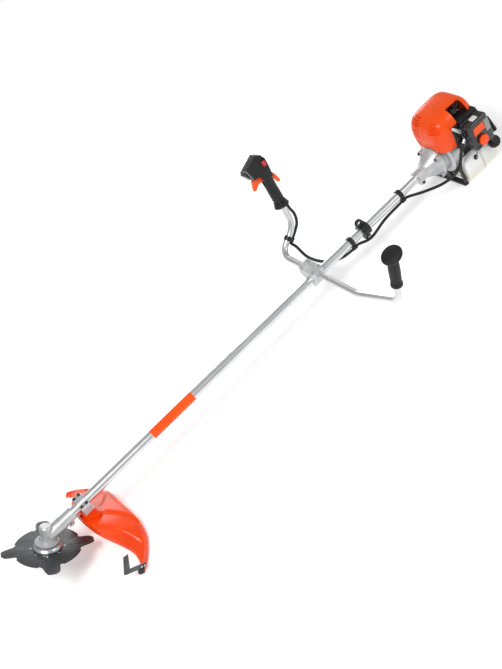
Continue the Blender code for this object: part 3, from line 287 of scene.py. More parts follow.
def all_materials():
    silver, dull = (0.70, 0.71, 0.72), (0.50, 0.51, 0.52)
    black, grey = (0.008, 0.0083, 0.0088), (0.018, 0.0184, 0.019)
    return {
        "tube": drawn_aluminium("drawn_tube", (0.03, 1, 1)),
        "bar": drawn_aluminium("drawn_bar", (1, 0.05, 1)),
        "cast": cast_metal("shot_blasted_casting", (0.50, 0.51, 0.52), (0.68, 0.69, 0.70)),
        "cast_dark": cast_metal("sooty_casting", (0.16, 0.16, 0.165), (0.30, 0.30, 0.31), 0.55),
        "steel": varied("ground_steel", dull, silver, 0.30, 500.0, 0.00006, 1.0, (1, 6, 1)),
        "dark_steel": varied(
            "blued_steel", (0.06, 0.06, 0.065), (0.12, 0.12, 0.125), 0.36, 600.0, 0.00006, 0.9
        ),
        "blade": lacquered_blade(),
        "orange": gloss_orange("moulded_orange", (0.90, 0.070, 0.002), (1.00, 0.100, 0.003), 0.26),
        "guard": gloss_orange("guard_orange", (0.80, 0.048, 0.002), (0.95, 0.072, 0.004), 0.24),
        "black": varied("black_plastic", black, grey, 0.38, 1300.0, 0.00016, Specular_IOR_Level=0.35),
        "gloss_black": varied("gloss_black", black, grey, 0.20, 900.0, 0.00003, Coat_Weight=0.4),
        "grey": varied("grey_plastic", (0.20, 0.205, 0.21), (0.30, 0.305, 0.31), 0.40, 1200.0, 0.0001),
        "pale": varied("pale_plastic", (0.66, 0.665, 0.67), (0.80, 0.805, 0.81), 0.36, 1200.0, 0.00008),
        "rubber": varied(
            "ribbed_rubber",
            (0.009, 0.009, 0.0095),
            (0.019, 0.019, 0.020),
            0.50,
            1500.0,
            0.0002,
            Specular_IOR_Level=0.3,
        ),
        "tank": milky_tank(),
        "brass": varied("sintered_bronze", (0.42, 0.30, 0.11), (0.58, 0.44, 0.20), 0.42, 800.0, 0.0001, 1.0),
        "red": varied("red_plastic", (0.62, 0.018, 0.022), (0.80, 0.035, 0.04), 0.28, 900.0, 0.00005),
    }


MATERIALS = all_materials()


# ---------------------------------------------------------------- shapes


def bridge(bm, low, high):
    """Side faces between two closed rings of points."""
    for i in range(len(low)):
        j = (i + 1) % len(low)
        bm.faces.new((low[i], low[j], high[j], high[i]))


def turned(profile, steps=48, ring=False):
    """Turns (radius, height) points about Z. With ring, the last point joins the first."""
    bm = bmesh.new()
    rows = []
    for radius, height in profile:
        if radius == 0:
            rows.append([bm.verts.new((0, 0, height))])
            continue
        turns = [tau * (i + 0.5) / steps for i in range(steps)]
        rows.append([bm.verts.new((radius * cos(a), radius * sin(a), height)) for a in turns])
    pairs = list(zip(rows, rows[1:]))
    if ring:
        pairs.append((rows[-1], rows[0]))
    for low, high in pairs:
        if len(low) > 1 and len(high) > 1:
            bridge(bm, low, high)
            continue
        if len(low) == len(high):
            continue
        tip, round_row = (low, high) if len(low) == 1 else (high, low)
        for i in range(steps):
            bm.faces.new((tip[0], round_row[i], round_row[(i + 1) % steps]))
    return bm


def disc(radius, low, high, steps=32, soft=0.0):
    """A turned slug. soft rounds its two rims."""
    if not soft:
        return turned(((0, low), (radius, low), (radius, high), (0, high)), steps)
    inner = radius - soft
    profile = ((0, low), (inner, low), (radius - 0.3 * soft, low + 0.3 * soft), (radius, low + soft))
    profile += ((radius, high - soft), (radius - 0.3 * soft, high - 0.3 * soft), (inner, high), (0, high))
    return turned(profile, steps)


def slab(outline, low, high):
    """Extrudes a flat outline of (x, y) points from one height to another."""
    bm = bmesh.new()
    rows = [[bm.verts.new((x, y, z)) for x, y in outline] for z in (low, high)]
    bridge(bm, *rows)
    bm.faces.new(rows[0])
    bm.faces.new(rows[1])
    return bm


def side_slab(outline, half):
    """A slab of (x, z) points that reaches half to each side in y, once placed by SIDEWAYS."""
    return slab([(x, -z) for x, z in outline], -half, half)


def block(low, high, bevel=0.0, segments=3):
    bm = bmesh.new()
    bmesh.ops.create_cube(bm, size=1)
    low, high = Vector(low), Vector(high)
    size = high - low
    for vert in bm.verts:
        vert.co = low + Vector(size[i] * (vert.co[i] + 0.5) for i in range(3))
    if bevel:
        edges = list(bm.edges)
        bmesh.ops.bevel(bm, geom=edges, offset=bevel, segments=segments, profile=0.5, affect="EDGES")
    return bm


def lofted(rings):
    """A closed solid through rings of points, which all have the same count."""
    bm = bmesh.new()
    rows = [[bm.verts.new(point) for point in ring] for ring in rings]
    for low, high in zip(rows, rows[1:]):
        bridge(bm, low, high)
    bm.faces.new(rows[0])
    bm.faces.new(rows[-1])
    return bm


def arc(centre, radius, start, stop, count):
    """Points on a circle, with both ends."""
    angles = [start + (stop - start) * i / (count - 1) for i in range(count)]
    return [(centre[0] + radius * cos(a), centre[1] + radius * sin(a)) for a in angles]


def rod_place(start, end):
    axis = Vector(end) - Vector(start)
    hint = X_AXIS if abs(axis.normalized().x) < 0.9 else Y_AXIS
    return frame_at(start, axis, hint)


def bent_path(corners, radii, turn_step=radians(6)):
    """The corners' polyline with each inner corner rounded to its radius."""
    path = [corners[0].copy()]
    for before, corner, after, radius in zip(corners, corners[1:], corners[2:], radii):
        into = (corner - before).normalized()
        out = (after - corner).normalized()
        bend = into.angle(out)
        cut_back = radius * sin(bend / 2) / cos(bend / 2)
        start = corner - into * cut_back
        inward = (out - into * into.dot(out)).normalized()
        centre = start + inward * radius
        steps = max(2, ceil(bend / turn_step))
        for i in range(steps + 1):
            angle = bend * i / steps
            path.append(centre - inward * radius * cos(angle) + into * radius * sin(angle))
    path.append(corners[-1].copy())
    return path


def piped(path, outer, inner=0.0, steps=32):
    """A round tube along a path, hollow if inner is given."""
    bm = bmesh.new()
    tangent = (path[1] - path[0]).normalized()
    side = tangent.orthogonal().normalized()
    rows = []
    radii = (outer, inner) if inner else (outer,)
    for i, point in enumerate(path):
        ahead = path[min(i + 1, len(path) - 1)] - path[max(i - 1, 0)]
        tangent = ahead.normalized()
        side = (side - tangent * side.dot(tangent)).normalized()
        other = tangent.cross(side)
        spokes = [cos(tau * k / steps) * side + sin(tau * k / steps) * other for k in range(steps)]
        rows.append([[bm.verts.new(point + r * spoke) for spoke in spokes] for r in radii])
    for low, high in zip(rows, rows[1:]):
        for near, far in zip(low, high):
            bridge(bm, near, far)
    for end in (rows[0], rows[-1]):
        if inner:
            bridge(bm, end[0], end[1])
        else:
            bm.faces.new(end[0])
    return bm


def smooth_route(points, spacing):
    """Even points on a smooth curve (Catmull-Rom) through the given ones."""
    padded = [2 * points[0] - points[1], *points, 2 * points[-1] - points[-2]]
    route = [points[0].copy()]
    for a, b, c, d in zip(padded, padded[1:], padded[2:], padded[3:]):
        steps = max(1, round((c - b).length / spacing))
        for i in range(1, steps + 1):
            t = i / steps
            pull = (2 * b, c - a, 2 * a - 5 * b + 4 * c - d, 3 * b - a - 3 * c + d)
            route.append((pull[0] + pull[1] * t + pull[2] * t * t + pull[3] * t**3) / 2)
    return route


def mesh_from(name, bm, place=HERE, turn_normals=True):
    """The shape as a mesh at its placement, with its faces turned outward."""
    if turn_normals:
        bmesh.ops.recalc_face_normals(bm, faces=bm.faces)
    mesh = bpy.data.meshes.new(name)
    bm.to_mesh(mesh)
    bm.free()
    mesh.transform(place)
    return mesh


def linked(name, data):
    made = bpy.data.objects.new(name, data)
    bpy.context.scene.collection.objects.link(made)
    return made


def stamp(whole, shape, place=HERE):
    """Adds a shape to another one, at its placement."""
    part = mesh_from("part", shape, place)
    whole.from_mesh(part)
    bpy.data.meshes.remove(part)


def joined(*shapes):
    """One bmesh from several (bmesh, placement) pairs."""
    whole = bmesh.new()
    for shape, place in shapes:
        stamp(whole, shape, place)
    return whole


# ---------------------------------------------------------------- pieces


def dressed(name, shape, place, material, turn_normals=True):
    """A linked object with its material, moved from the machine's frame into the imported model's."""
    mesh = mesh_from(name, shape, MACHINE @ place, turn_normals)
    mesh.shade_smooth()
    mesh.materials.append(MATERIALS[material].material)
    return linked(name, mesh)


def add_piece(
    name, shape, place, material, body="frame", bevel=0.0, crease=35, turn_normals=True
):
    """A new visible piece, which rides on a body."""
    made = dressed(name, shape, place, material, turn_normals)
    if bevel:
        soften(made, bevel)
    else:
        made.data.set_sharp_from_angle(angle=radians(crease))
    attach(made, body)
    return made


def soften(made, width, segments=2):
    """Rounds the sharp edges, and keeps the flat faces flat in the light."""
    edges = made.modifiers.new("edges", "BEVEL")
    edges.width = width
    edges.segments = segments
    edges.limit_method = "ANGLE"
    edges.angle_limit = radians(32)
    flat = made.modifiers.new("flat", "WEIGHTED_NORMAL")
    flat.keep_sharp = True


def finish_node(name, material, bevel=0.0006):
    """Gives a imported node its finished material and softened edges."""
    node = frame["nodes"][name]
    for place in node.material_slots:
        place.material = MATERIALS[material].material
    weld = node.modifiers.new("weld", "WELD")
    weld.merge_threshold = 0.00002
    node.data.shade_smooth()
    soften(node, bevel)


KEPT = {
    "steel": ("drive_shaft", "bevel_pinion", "bevel_gear", "output_spindle", "blade_holder", "blade_washer",
              "blade_nut", "clamp_screw_1", "clamp_screw_2", "clamp_screw_3", "clamp_screw_4", "clutch_drum",
              "clutch_shoe_1", "clutch_shoe_2", "crankshaft", "connecting_rod", "spark_plug", "muffler",
              "carburettor_lever", "choke_lever"),
    "brass": ("shaft_bush_1", "shaft_bush_2"),
    "cast": ("gearcase", "guard_bracket", "handlebar_clamp_base", "handlebar_clamp_cap", "clutch_housing",
             "fan_housing", "crankcase", "flywheel", "carburettor", "piston"),
    "cast_dark": ("cylinder",),
    "black": ("throttle_housing_left", "throttle_housing_right", "hanger_clamp", "cable_clip_1",
              "cable_clip_2", "cable_clip_3", "air_filter_base", "foot_stand",
              "starter_housing", "starter_pulley", "starter_handle"),
    "gloss_black": ("air_filter_cover",),
    "orange": ("throttle_trigger", "lockout_lever"),
    "red": ("stop_switch",),
}
SOFTER = {
    "throttle_housing_left": 0.0020,
    "throttle_housing_right": 0.0020,
    "air_filter_cover": 0.0015,
    "starter_housing": 0.0012,
    "handlebar_clamp_cap": 0.0012,
    "handlebar_clamp_base": 0.0012,
}


def finish_kept_nodes():
    for material, names in KEPT.items():
        for name in names:
            finish_node(name, material, SOFTER.get(name, 0.0005))


# ---------------------------------------------------------------- tube, bar and cable

LABEL_START = 0.40
LABEL_END = 0.56


def build_tube():
    ends = (Vector((0.066, 0, 0)), Vector((1.532, 0, 0)))
    stations = [ends[0].lerp(ends[1], i / 24) for i in range(25)]
    made = add_piece("drive_tube", piped(stations, TUBE_R, 0.0125, 64), HERE, "tube")
    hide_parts("main_tube")
    band = turned(
        (
            (TUBE_R + 0.00005, LABEL_START),
            (TUBE_R + 0.0003, LABEL_START + 0.0003),
            (TUBE_R + 0.0003, LABEL_END - 0.0003),
            (TUBE_R + 0.00005, LABEL_END),
        ),
        64,
        ring=True,
    )
    add_piece("tube_band", band, ALONG_TUBE, "orange")


def build_bar():
    corners = [
        LEFT_BENDS[1] + 0.150 * LEFT_AXIS,
        LEFT_BENDS[1],
        LEFT_BENDS[0],
        RIGHT_BENDS[0],
        RIGHT_BENDS[1],
        RIGHT_GRIP_BASE + 0.056 * RIGHT_AXIS,
    ]
    path = bent_path(corners, (0.036, 0.080, 0.040, 0.060))
    made = add_piece("bent_bar", piped(path, BAR_R, 0.008, 40), HERE, "bar")
    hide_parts("handlebar")


CLIP_STATIONS = (1.212, 1.424)
CABLE_AT_CLIPS = (Vector((0, -0.0123, -0.0164)), Vector((0, -0.0127, -0.0161)))
CABLE_R = 0.0045
BAR_RUN = (RIGHT_BENDS[1] - RIGHT_BENDS[0]).normalized()
BAR_CLIP = RIGHT_BENDS[0] + 0.0535 * BAR_RUN
CABLE_AT_BAR = BAR_CLIP + 0.0163 * Y_AXIS.cross(BAR_RUN)


def build_cable():
    collar = RIGHT @ Vector((-0.0160, 0, -0.0003))
    clips = [Vector((station, at.y, at.z)) for station, at in zip(CLIP_STATIONS, CABLE_AT_CLIPS)]
    points = [
        collar,
        collar - 0.018 * RIGHT_AXIS,
        Vector((1.168, 0.157, 0.098)),
        Vector((1.157, 0.153, 0.069)),
        CABLE_AT_BAR + 0.010 * BAR_RUN,
        CABLE_AT_BAR - 0.010 * BAR_RUN,
        Vector((1.109, 0.128, 0.026)),
        Vector((1.106, 0.088, 0.005)),
        Vector((1.117, 0.055, -0.011)),
        Vector((1.137, 0.026, -0.021)),
        Vector((1.166, 0.003, -0.0225)),
        clips[0] - 0.014 * X_AXIS,
        clips[0] + 0.014 * X_AXIS,
        Vector((1.268, -0.023, -0.0240)),
        Vector((1.340, -0.0140, -0.0180)),
        clips[1] - 0.014 * X_AXIS,
        clips[1] + 0.012 * X_AXIS,
        Vector((1.485, -0.040, -0.026)),
        Vector((1.536, -0.064, -0.033)),
        Vector((1.578, -0.079, -0.028)),
        Vector((1.603, -0.087, -0.009)),
        Vector((1.618, -0.089, 0.018)),
        Vector((1.634, -0.0885, 0.040)),
        Vector((1.6512, -0.0880, 0.052)),
    ]
    route = smooth_route(points, 0.006)
    made = add_piece("cable_sheath", piped(route, CABLE_R, 0, 20), HERE, "black")
    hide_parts("throttle_cable")
    end = points[-1]
    fitting = turned(((0, -0.012), (0.0052, -0.012), (0.0058, -0.009), (0.0058, 0.001), (0, 0.001)), 24)
    place = rod_place(end, 2 * end - points[-2])
    add_piece("cable_ferrule", fitting, place, "steel", crease=50)


# ---------------------------------------------------------------- cutting head

GUARD_HALF = 0.220
GUARD_PLAN = (
    # Each station: out from the middle, front edge, rear shoulder
    (0.000, 0.108, 0.234),
    (0.060, 0.114, 0.236),
    (0.100, 0.129, 0.236),
    (0.140, 0.155, 0.228),
    (0.170, 0.173, 0.213),
    (0.195, 0.176, 0.196),
    (0.210, 0.171, 0.182),
    (GUARD_HALF, 0.165, 0.170),
)
# The two raised terraces of the guard start behind these lines: (out from the middle, forward)
OUTER_TERRACE = ((0.020, 0.104), (0.053, 0.122), (0.067, 0.143), (0.089, 0.1645), (0.122, 0.187),
                 (0.160, 0.204), (0.200, 0.196), (0.220, 0.190))
INNER_TERRACE = ((0.013, 0.148), (0.018, 0.1745), (0.037, 0.1935), (0.065, 0.2155), (0.095, 0.233),
                 (0.130, 0.262), (0.220, 0.300))
TERRACE_RISE = 0.0060
TERRACES_END = 0.150
TERRACES_FADE = 0.055
TERRACE_SLOPE = 0.0075
GUARD_WALL = 0.0026


def between(table, x):
    """Linear interpolation in a table of (x, y), held level outside it."""
    if x <= table[0][0]:
        return table[0][1]
    for (x0, y0), (x1, y1) in zip(table, table[1:]):
        if x <= x1:
            return y0 + (y1 - y0) * (x - x0) / (x1 - x0)
    return table[-1][1]


def eased(share):
    share = min(1.0, max(0.0, share))
    return share * share * (3 - 2 * share)


def terrace_height(side, forward):
    """How far the guard's top is below its crown at one point."""
    height = -2 * TERRACE_RISE
    for table in (OUTER_TERRACE, INNER_TERRACE):
        behind = forward - between(table, abs(side))
        height += TERRACE_RISE * eased(behind / TERRACE_SLOPE)
    return height * (1 - eased((abs(side) - TERRACES_END) / TERRACES_FADE))


def guard_row(side, front, rear):
    """The guard's (forward, side, up) points at one station, from its front lip to its rear skirt."""
    share = abs(side) / GUARD_HALF
    crown = 0.0275 - 0.063 * share**2.5
    depth = rear - front
    skirt = 0.030 - 0.008 * share
    row = []
    for drop in (0.0200, 0.0160, 0.0120, 0.0085):
        row.append((front - 0.0006, side, crown - drop))
    row.append((front + 0.0006, side, crown - 0.0065 + terrace_height(side, front) * 0.3))
    spans = 30
    for i in range(1, spans + 1):
        forward = front + 0.0030 + (depth - 0.0050) * i / spans
        round_off = 0.004 * eased((i - spans + 4) / 4)
        row.append((forward, side, crown - 0.0015 - round_off + terrace_height(side, forward)))
    last = row[-1][2]
    for i in range(1, 7):
        share_down = i / 6
        low = last + (crown - skirt - last) * share_down
        row.append((rear + 0.007 * eased(share_down * 1.6), side, low))
    return row


def build_guard():
    stations = [Vector((-side, front, rear)) for side, front, rear in reversed(GUARD_PLAN[1:])]
    stations += [Vector(station) for station in GUARD_PLAN]
    bm = bmesh.new()
    route = smooth_route(stations, 0.0045)
    rows = [[bm.verts.new(point) for point in guard_row(*station)] for station in route]
    for low, high in zip(rows, rows[1:]):
        for i in range(len(low) - 1):
            bm.faces.new((low[i], low[i + 1], high[i + 1], high[i]))
    bmesh.ops.recalc_face_normals(bm, faces=bm.faces)
    bm.faces.ensure_lookup_table()
    if sum(face.normal.z * face.calc_area() for face in bm.faces) < 0:
        bmesh.ops.reverse_faces(bm, faces=bm.faces)
    made = add_piece("guard_shell", bm, HEAD, "guard", crease=50, turn_normals=False)
    wall = made.modifiers.new("wall", "SOLIDIFY")
    wall.thickness = GUARD_WALL
    wall.offset = -1
    wall.use_even_offset = True
    outline = ((0.112, 0.0178), (0.149, 0.0178), (0.152, 0.0620), (0.112, 0.0440))
    pedestal = side_slab([(x, -z) for x, z in outline], 0.026)
    add_piece("guard_pedestal", pedestal, SIDEWAYS, "guard", bevel=0.003)
    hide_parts("guard")


def build_guard_details():
    """The knife with its two screws, and the tip's black end cap."""
    outline = ((0.117, -0.042), (0.182, -0.042), (0.182, -0.027), (0.132, -0.027), (0.130, 0.021),
               (0.115, 0.017), (0.113, -0.038))
    plate = frame_at((0, 0, 0), -Y_AXIS, X_AXIS)
    knife = add_piece("trim_knife", slab(outline, 0.2212, 0.2232), HEAD @ plate, "dark_steel", bevel=0.0005)
    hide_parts("line_knife")
    cap = block((0.158, -0.2240, -0.060), (0.176, -0.2135, -0.036), 0.003, 3)
    add_piece("guard_end_cap", cap, HEAD, "black", crease=50)
    for x, n in ((0.166, -0.0345), (0.176, -0.0345)):
        place = HEAD @ frame_at((x, -0.2225, n), -Y_AXIS, X_AXIS)
        head = disc(0.0032, -0.001, 0.0030, 6)
        add_piece(f"knife_screw_{round(x * 1000)}", head, place, "steel", bevel=0.0004)


def screw_head(radius, height, socket):
    """A cap screw's head with a hexagonal socket, on +Z."""
    bm = bmesh.new()
    steps = 24
    levels = ((radius, 0), (radius, height - 0.0006), (radius - 0.0006, height), (socket * 1.12, height))
    rows = []
    for r, z in levels:
        turns = [tau * i / steps for i in range(steps)]
        rows.append([bm.verts.new((r * cos(a), r * sin(a), z)) for a in turns])
    for z in (height, height * 0.4):
        row = []
        for i in range(steps):
            a = tau * i / steps
            reach = socket * cos(pi / 6) / cos((a % (pi / 3)) - pi / 6)
            row.append(bm.verts.new((reach * cos(a), reach * sin(a), z)))
        rows.append(row)
    for low, high in zip(rows, rows[1:]):
        bridge(bm, low, high)
    bm.faces.new(rows[0])
    bm.faces.new(rows[-1])
    return bm


def add_screw(name, at, axis, material="dark_steel", radius=0.0040, height=0.0042):
    hint = X_AXIS if abs(Vector(axis).normalized().x) < 0.9 else Y_AXIS
    head = screw_head(radius, height, radius * 0.52)
    add_piece(name, head, frame_at(at, axis, hint), material, crease=40)


def add_pinch_bolt(name, x, half, up, material, radius, height):
    """A screw and its nut across a pair of clamp ears below the tube."""
    add_screw(f"{name}_bolt", (x, -half, up), -Y_AXIS, material, radius, height)
    place = frame_at((x, half, up), Y_AXIS, X_AXIS)
    add_piece(f"{name}_nut", disc(0.0046, 0, 0.0036, 6), place, "steel", bevel=0.0004)


def build_head_details():
    """Bolts of the gear head and of the guard's clamp, and the marks on the blade."""
    add_pinch_bolt("head_clamp", 0.075, 0.0095, -0.0215, "steel", 0.0040, 0.0042)
    cap = turned(((0, 0.0008), (0.0128, 0.0008), (0.0138, 0), (0.0138, -0.001), (0, -0.001)), 48)
    add_piece("head_cap", cap, HEAD @ Matrix.Translation((0, 0, 0.040)), "cast")
    plug = HEAD @ Vector((-0.0172, 0, 0.006))
    add_screw("grease_plug", plug, -HEAD.col[0].xyz, "steel", 0.0042, 0.003)
    rim = ((0.030, -0.0090), (0.0336, -0.0096), (0.0338, -0.0104), (0.0336, -0.0112), (0.030, -0.0112))
    add_piece("head_rim", turned(rim, 64, ring=True), HEAD, "steel")
    for side in (-1, 1):
        for x in (0.1245, 0.1415):
            name = f"bracket_screw_{round(x * 1e4)}_{'lr'[side > 0]}"
            add_screw(name, (x, side * 0.0235, 0.009), Z_AXIS, "dark_steel", 0.0046, 0.0046)
    cap_shape = joined(
        (block((0.119, 0.0145, 0.0025), (0.147, 0.0305, 0.0105), 0.0018, 2), HERE),
        (block((0.119, -0.0305, 0.0025), (0.147, -0.0145, 0.0105), 0.0018, 2), HERE),
        (arched_strap(0.120, 0.146, TUBE_R + 0.0004, 0.0026), HERE),
    )
    add_piece("bracket_cap", cap_shape, HERE, "cast", bevel=0.0004)
    build_blade_marks()


def arched_strap(start, end, radius, wall):
    """A half ring over the tube, from x = start to x = end."""
    outer = arc((0, 0), radius + wall, 0, pi, 20)
    inner = arc((0, 0), radius, pi, 0, 20)
    bm = slab(outer + inner, start, end)
    turn = placement((0, 0, 0), Y_AXIS, Z_AXIS, X_AXIS)
    bmesh.ops.transform(bm, matrix=turn, verts=bm.verts)
    return bm


def blade_outline():
    """Round body with a rounded notch beside the root of each wedge-shaped tooth."""
    phase, tip = radians(162), 0.1275
    shape = (
        (0.0905, -0.40), (0.0915, -0.345), (0.0945, -0.295), (0.107, -0.225), (0.1195, -0.168),
        (0.1262, -0.118), (tip, -0.100), (tip, 0.050), (0.1262, 0.068), (0.1200, 0.140), (0.107, 0.185),
        (0.0945, 0.215), (0.0915, 0.250), (0.0905, 0.300),
    )
    outline = []
    for tooth in range(4):
        middle = phase + tooth * tau / 4
        outline += [(r * cos(middle + a), r * sin(middle + a)) for r, a in shape]
        outline += arc((0, 0), 0.095, middle + 0.345, middle + tau / 4 - 0.43, 24)
    return outline


def build_blade():
    level, half = -0.0302, 0.0007
    outline = blade_outline()
    bm = bmesh.new()
    rows = []
    for inset, height in ((0.0016, -half), (0.0, -half * 0.3), (0.0, half * 0.3), (0.0016, half)):
        row = []
        for x, y in outline:
            r = (x * x + y * y) ** 0.5
            k = (r - inset) / r
            row.append(bm.verts.new((x * k, y * k, level + height)))
        rows.append(row)
    for radius, height in ((0.0128, half), (0.0128, -half)):
        row = []
        for x, y in outline:
            r = (x * x + y * y) ** 0.5
            row.append(bm.verts.new((x / r * radius, y / r * radius, level + height)))
        rows.append(row)
    for low, high in zip(rows, rows[1:] + rows[:1]):
        bridge(bm, low, high)
    made = add_piece("cutting_blade", bm, HEAD, "blade", "blade_group", crease=25)
    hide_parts("blade")


def build_blade_marks():
    """Plain white index ticks round the hub, painted on the blade. Every other one is a cross."""
    low = -0.0302 + 0.0007
    high = low + 0.00015
    start = 0.0425
    ticks = bmesh.new()
    for i in range(8):
        turn = Matrix.Rotation(tau * i / 8 + 0.32, 4, "Z")
        long = 0.0075 if i % 2 else 0.0045
        stamp(ticks, block((start, -0.0009, low), (start + long, 0.0009, high)), turn)
        if i % 2:
            middle = start + long / 2
            stamp(ticks, block((middle, -0.0030, low), (middle + 0.0014, 0.0030, high)), turn)
    add_piece("blade_ticks", ticks, HEAD, "pale", "blade_group")


# ---------------------------------------------------------------- engine cover

COVER_LEVELS = (
    (1.586, 1.738, 0.0725, 0.022),
    (1.581, 1.742, 0.0765, 0.070),
    (1.584, 1.741, 0.0755, 0.105),
    (1.595, 1.735, 0.0670, 0.130),
    (1.613, 1.724, 0.0520, 0.1445),
    (1.633, 1.708, 0.0350, 0.1505),
)
COVER_WALL = 0.0025


def cover_ring(front, rear, half_width, height, inset=0.0, count=72):
    """A rounded plan outline of the engine cover at one height."""
    power = 2 / 4
    middle, reach = (front + rear) / 2, (rear - front) / 2 - inset
    points = []
    for i in range(count):
        angle = tau * (i + 0.5) / count
        c, s = cos(angle), sin(angle)
        x = middle + reach * abs(c) ** power * (1 if c > 0 else -1)
        y = (half_width - inset) * abs(s) ** power * (1 if s > 0 else -1)
        points.append((x, y, height))
    return points


def fine_levels(levels, spacing):
    """More levels on a smooth curve through the given (front, rear, half width, height)."""
    heights = smooth_route([Vector((level[0], level[2], level[3])) for level in levels], spacing)
    rears = smooth_route([Vector((level[1], level[2], level[3])) for level in levels], spacing)
    count = min(len(heights), len(rears))
    picked = [i / (count - 1) for i in range(count)]
    front = [heights[round(p * (len(heights) - 1))] for p in picked]
    back = [rears[round(p * (len(rears) - 1))] for p in picked]
    return [(f.x, b.x, f.y, f.z) for f, b in zip(front, back)]


def cover_skins():
    """The cover's outer and inner solids."""
    outside = lofted([cover_ring(*level) for level in fine_levels(COVER_LEVELS, 0.006)])
    rings = []
    for front, rear, half_width, height in ((1.585, 1.739, 0.0721, 0.012), *COVER_LEVELS[1:]):
        drop = 0 if height < 0.1 else COVER_WALL
        rings.append(cover_ring(front, rear, half_width, height - drop, COVER_WALL))
    return outside, lofted(rings)


def inside_outline(point, outline):
    """True if the flat point is inside the outline."""
    x, y = point
    inside = False
    for (x0, y0), (x1, y1) in zip(outline, outline[1:] + outline[:1]):
        if (y0 > y) != (y1 > y) and x < x0 + (x1 - x0) * (y - y0) / (y1 - y0):
            inside = not inside
    return inside


GRILLES = (
    # (side, up) outlines on the cover's front, looking back along the tube
    ((0.020, 0.1180), (0.050, 0.1180), (0.062, 0.1240), (0.050, 0.1400), (0.026, 0.1475), (0.014, 0.1475)),
    ((0.022, 0.0840), (0.056, 0.0840), (0.058, 0.1120), (0.022, 0.1120)),
    ((0.014, 0.0480), (0.044, 0.0480), (0.060, 0.0780), (0.022, 0.0780)),
)
GRILLE_PITCH = 0.0074
GRILLE_HOLE = 0.0029


def grille_holes(surface):
    """Hexagonal prisms through the cover's wall, square to it, over each grille's outline."""
    whole = bmesh.new()
    for outline in GRILLES:
        for row in range(40):
            up = 0.046 + row * GRILLE_PITCH * 0.866
            for column in range(20):
                side = (column + 0.5 * (row % 2)) * GRILLE_PITCH
                if not inside_outline((side, up), outline):
                    continue
                hit, normal, _, _ = surface.ray_cast(Vector((1.5, side, up)), X_AXIS)
                if hit is None:
                    continue
                stamp(whole, disc(GRILLE_HOLE, -0.006, 0.004, 6), frame_at(hit, normal, Y_AXIS))
    return whole


def cutter(name, shape, place=HERE):
    """A helper for a Boolean cut. It is removed once the cut is made."""
    return linked(name, mesh_from(name, shape, MACHINE @ place))


def carve(target, cutters):
    """Cuts the helpers from the target's mesh for good, and removes them."""
    for tool in cutters:
        step = target.modifiers.new("cut", "BOOLEAN")
        step.operation = "DIFFERENCE"
        step.solver = "EXACT"
        step.object = tool
    graph = bpy.context.evaluated_depsgraph_get()
    result = bpy.data.meshes.new_from_object(target.evaluated_get(graph))
    target.modifiers.clear()
    target.data = result
    for tool in cutters:
        bpy.data.objects.remove(tool)


def build_cover():
    outside, inside = cover_skins()
    bmesh.ops.recalc_face_normals(outside, faces=outside.faces)
    surface = BVHTree.FromBMesh(outside)
    holes = grille_holes(surface)
    fins = louvre_fins(surface)
    crease = crease_strip(surface)
    made = add_piece("engine_shell", outside, HERE, "orange", crease=40)
    tools = [
        cutter("cut_inside", inside),
        cutter("cut_clutch", disc(0.0520, 1.57, 1.605, 64), ALONG_TUBE),
        cutter("cut_fan", disc(0.0650, 1.6005, 1.645, 64), ALONG_TUBE),
        cutter("cut_outlet", block((1.678, 0.060, 0.034), (1.702, 0.090, 0.061))),
        cutter("cut_starter", disc(0.0680, 1.712, 1.80, 64), ALONG_TUBE),
        cutter("cut_intake", block((1.630, -0.100, -0.010), (1.760, -0.050, 0.107))),
        cutter("cut_corner", block((1.560, -0.100, -0.010), (1.640, -0.030, 0.041))),
        cutter("cut_plug", block((1.658, -0.100, 0.098), (1.712, -0.041, 0.160), 0.006, 4)),
        cutter("cut_grilles", holes),
    ]
    for row in range(5):
        low = 0.068 + 0.0105 * row
        vent = block((1.655, 0.060, low), (1.705, 0.090, low + 0.0045), 0.001)
        tools.append(cutter(f"cut_side_{row}", vent))
    carve(made, tools)
    made.data.shade_smooth()
    made.data.set_sharp_from_angle(angle=radians(34))
    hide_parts("engine_cover")
    add_piece("cover_fins", fins, HERE, "orange", crease=50)
    backing = joined(
        (block((1.6055, 0.006, 0.066), (1.6085, 0.060, 0.118), 0.001, 1), HERE),
        (block((1.6120, 0.006, 0.112), (1.6150, 0.050, 0.1395), 0.001, 1), HERE),
    )
    add_piece("grille_backing", backing, HERE, "black")
    side = joined(
        (block((1.6290, -0.0790, 0.028), (1.6560, -0.0520, 0.1060), 0.005, 4), HERE),
        (block((1.6600, -0.0860, 0.0960), (1.7320, -0.0440, 0.1110), 0.004, 3), HERE),
    )
    add_piece("intake_shroud", side, HERE, "black", crease=50)
    add_piece("cover_crease", crease, HERE, "orange", crease=50)


def on_cover(surface, side, up):
    hit, normal, _, _ = surface.ray_cast(Vector((1.5, side, up)), X_AXIS)
    return hit, normal


def ribbon(surface, places, width, height):
    """A raised bead along (side, up) places on the cover's front."""
    rows = []
    bm = bmesh.new()
    hits = [on_cover(surface, *place) for place in places]
    for i, (point, normal) in enumerate(hits):
        ahead = hits[min(i + 1, len(hits) - 1)][0] - hits[max(i - 1, 0)][0]
        across = normal.cross(ahead).normalized()
        profile = ((-1, -0.8), (-0.8, 0.6), (-0.35, 1), (0.35, 1), (0.8, 0.6), (1, -0.8))
        row = [bm.verts.new(point + across * width / 2 * a + normal * height * b) for a, b in profile]
        rows.append(row)
    for low, high in zip(rows, rows[1:]):
        bridge(bm, low, high)
    bm.faces.new(rows[0])
    bm.faces.new(rows[-1])
    return bm


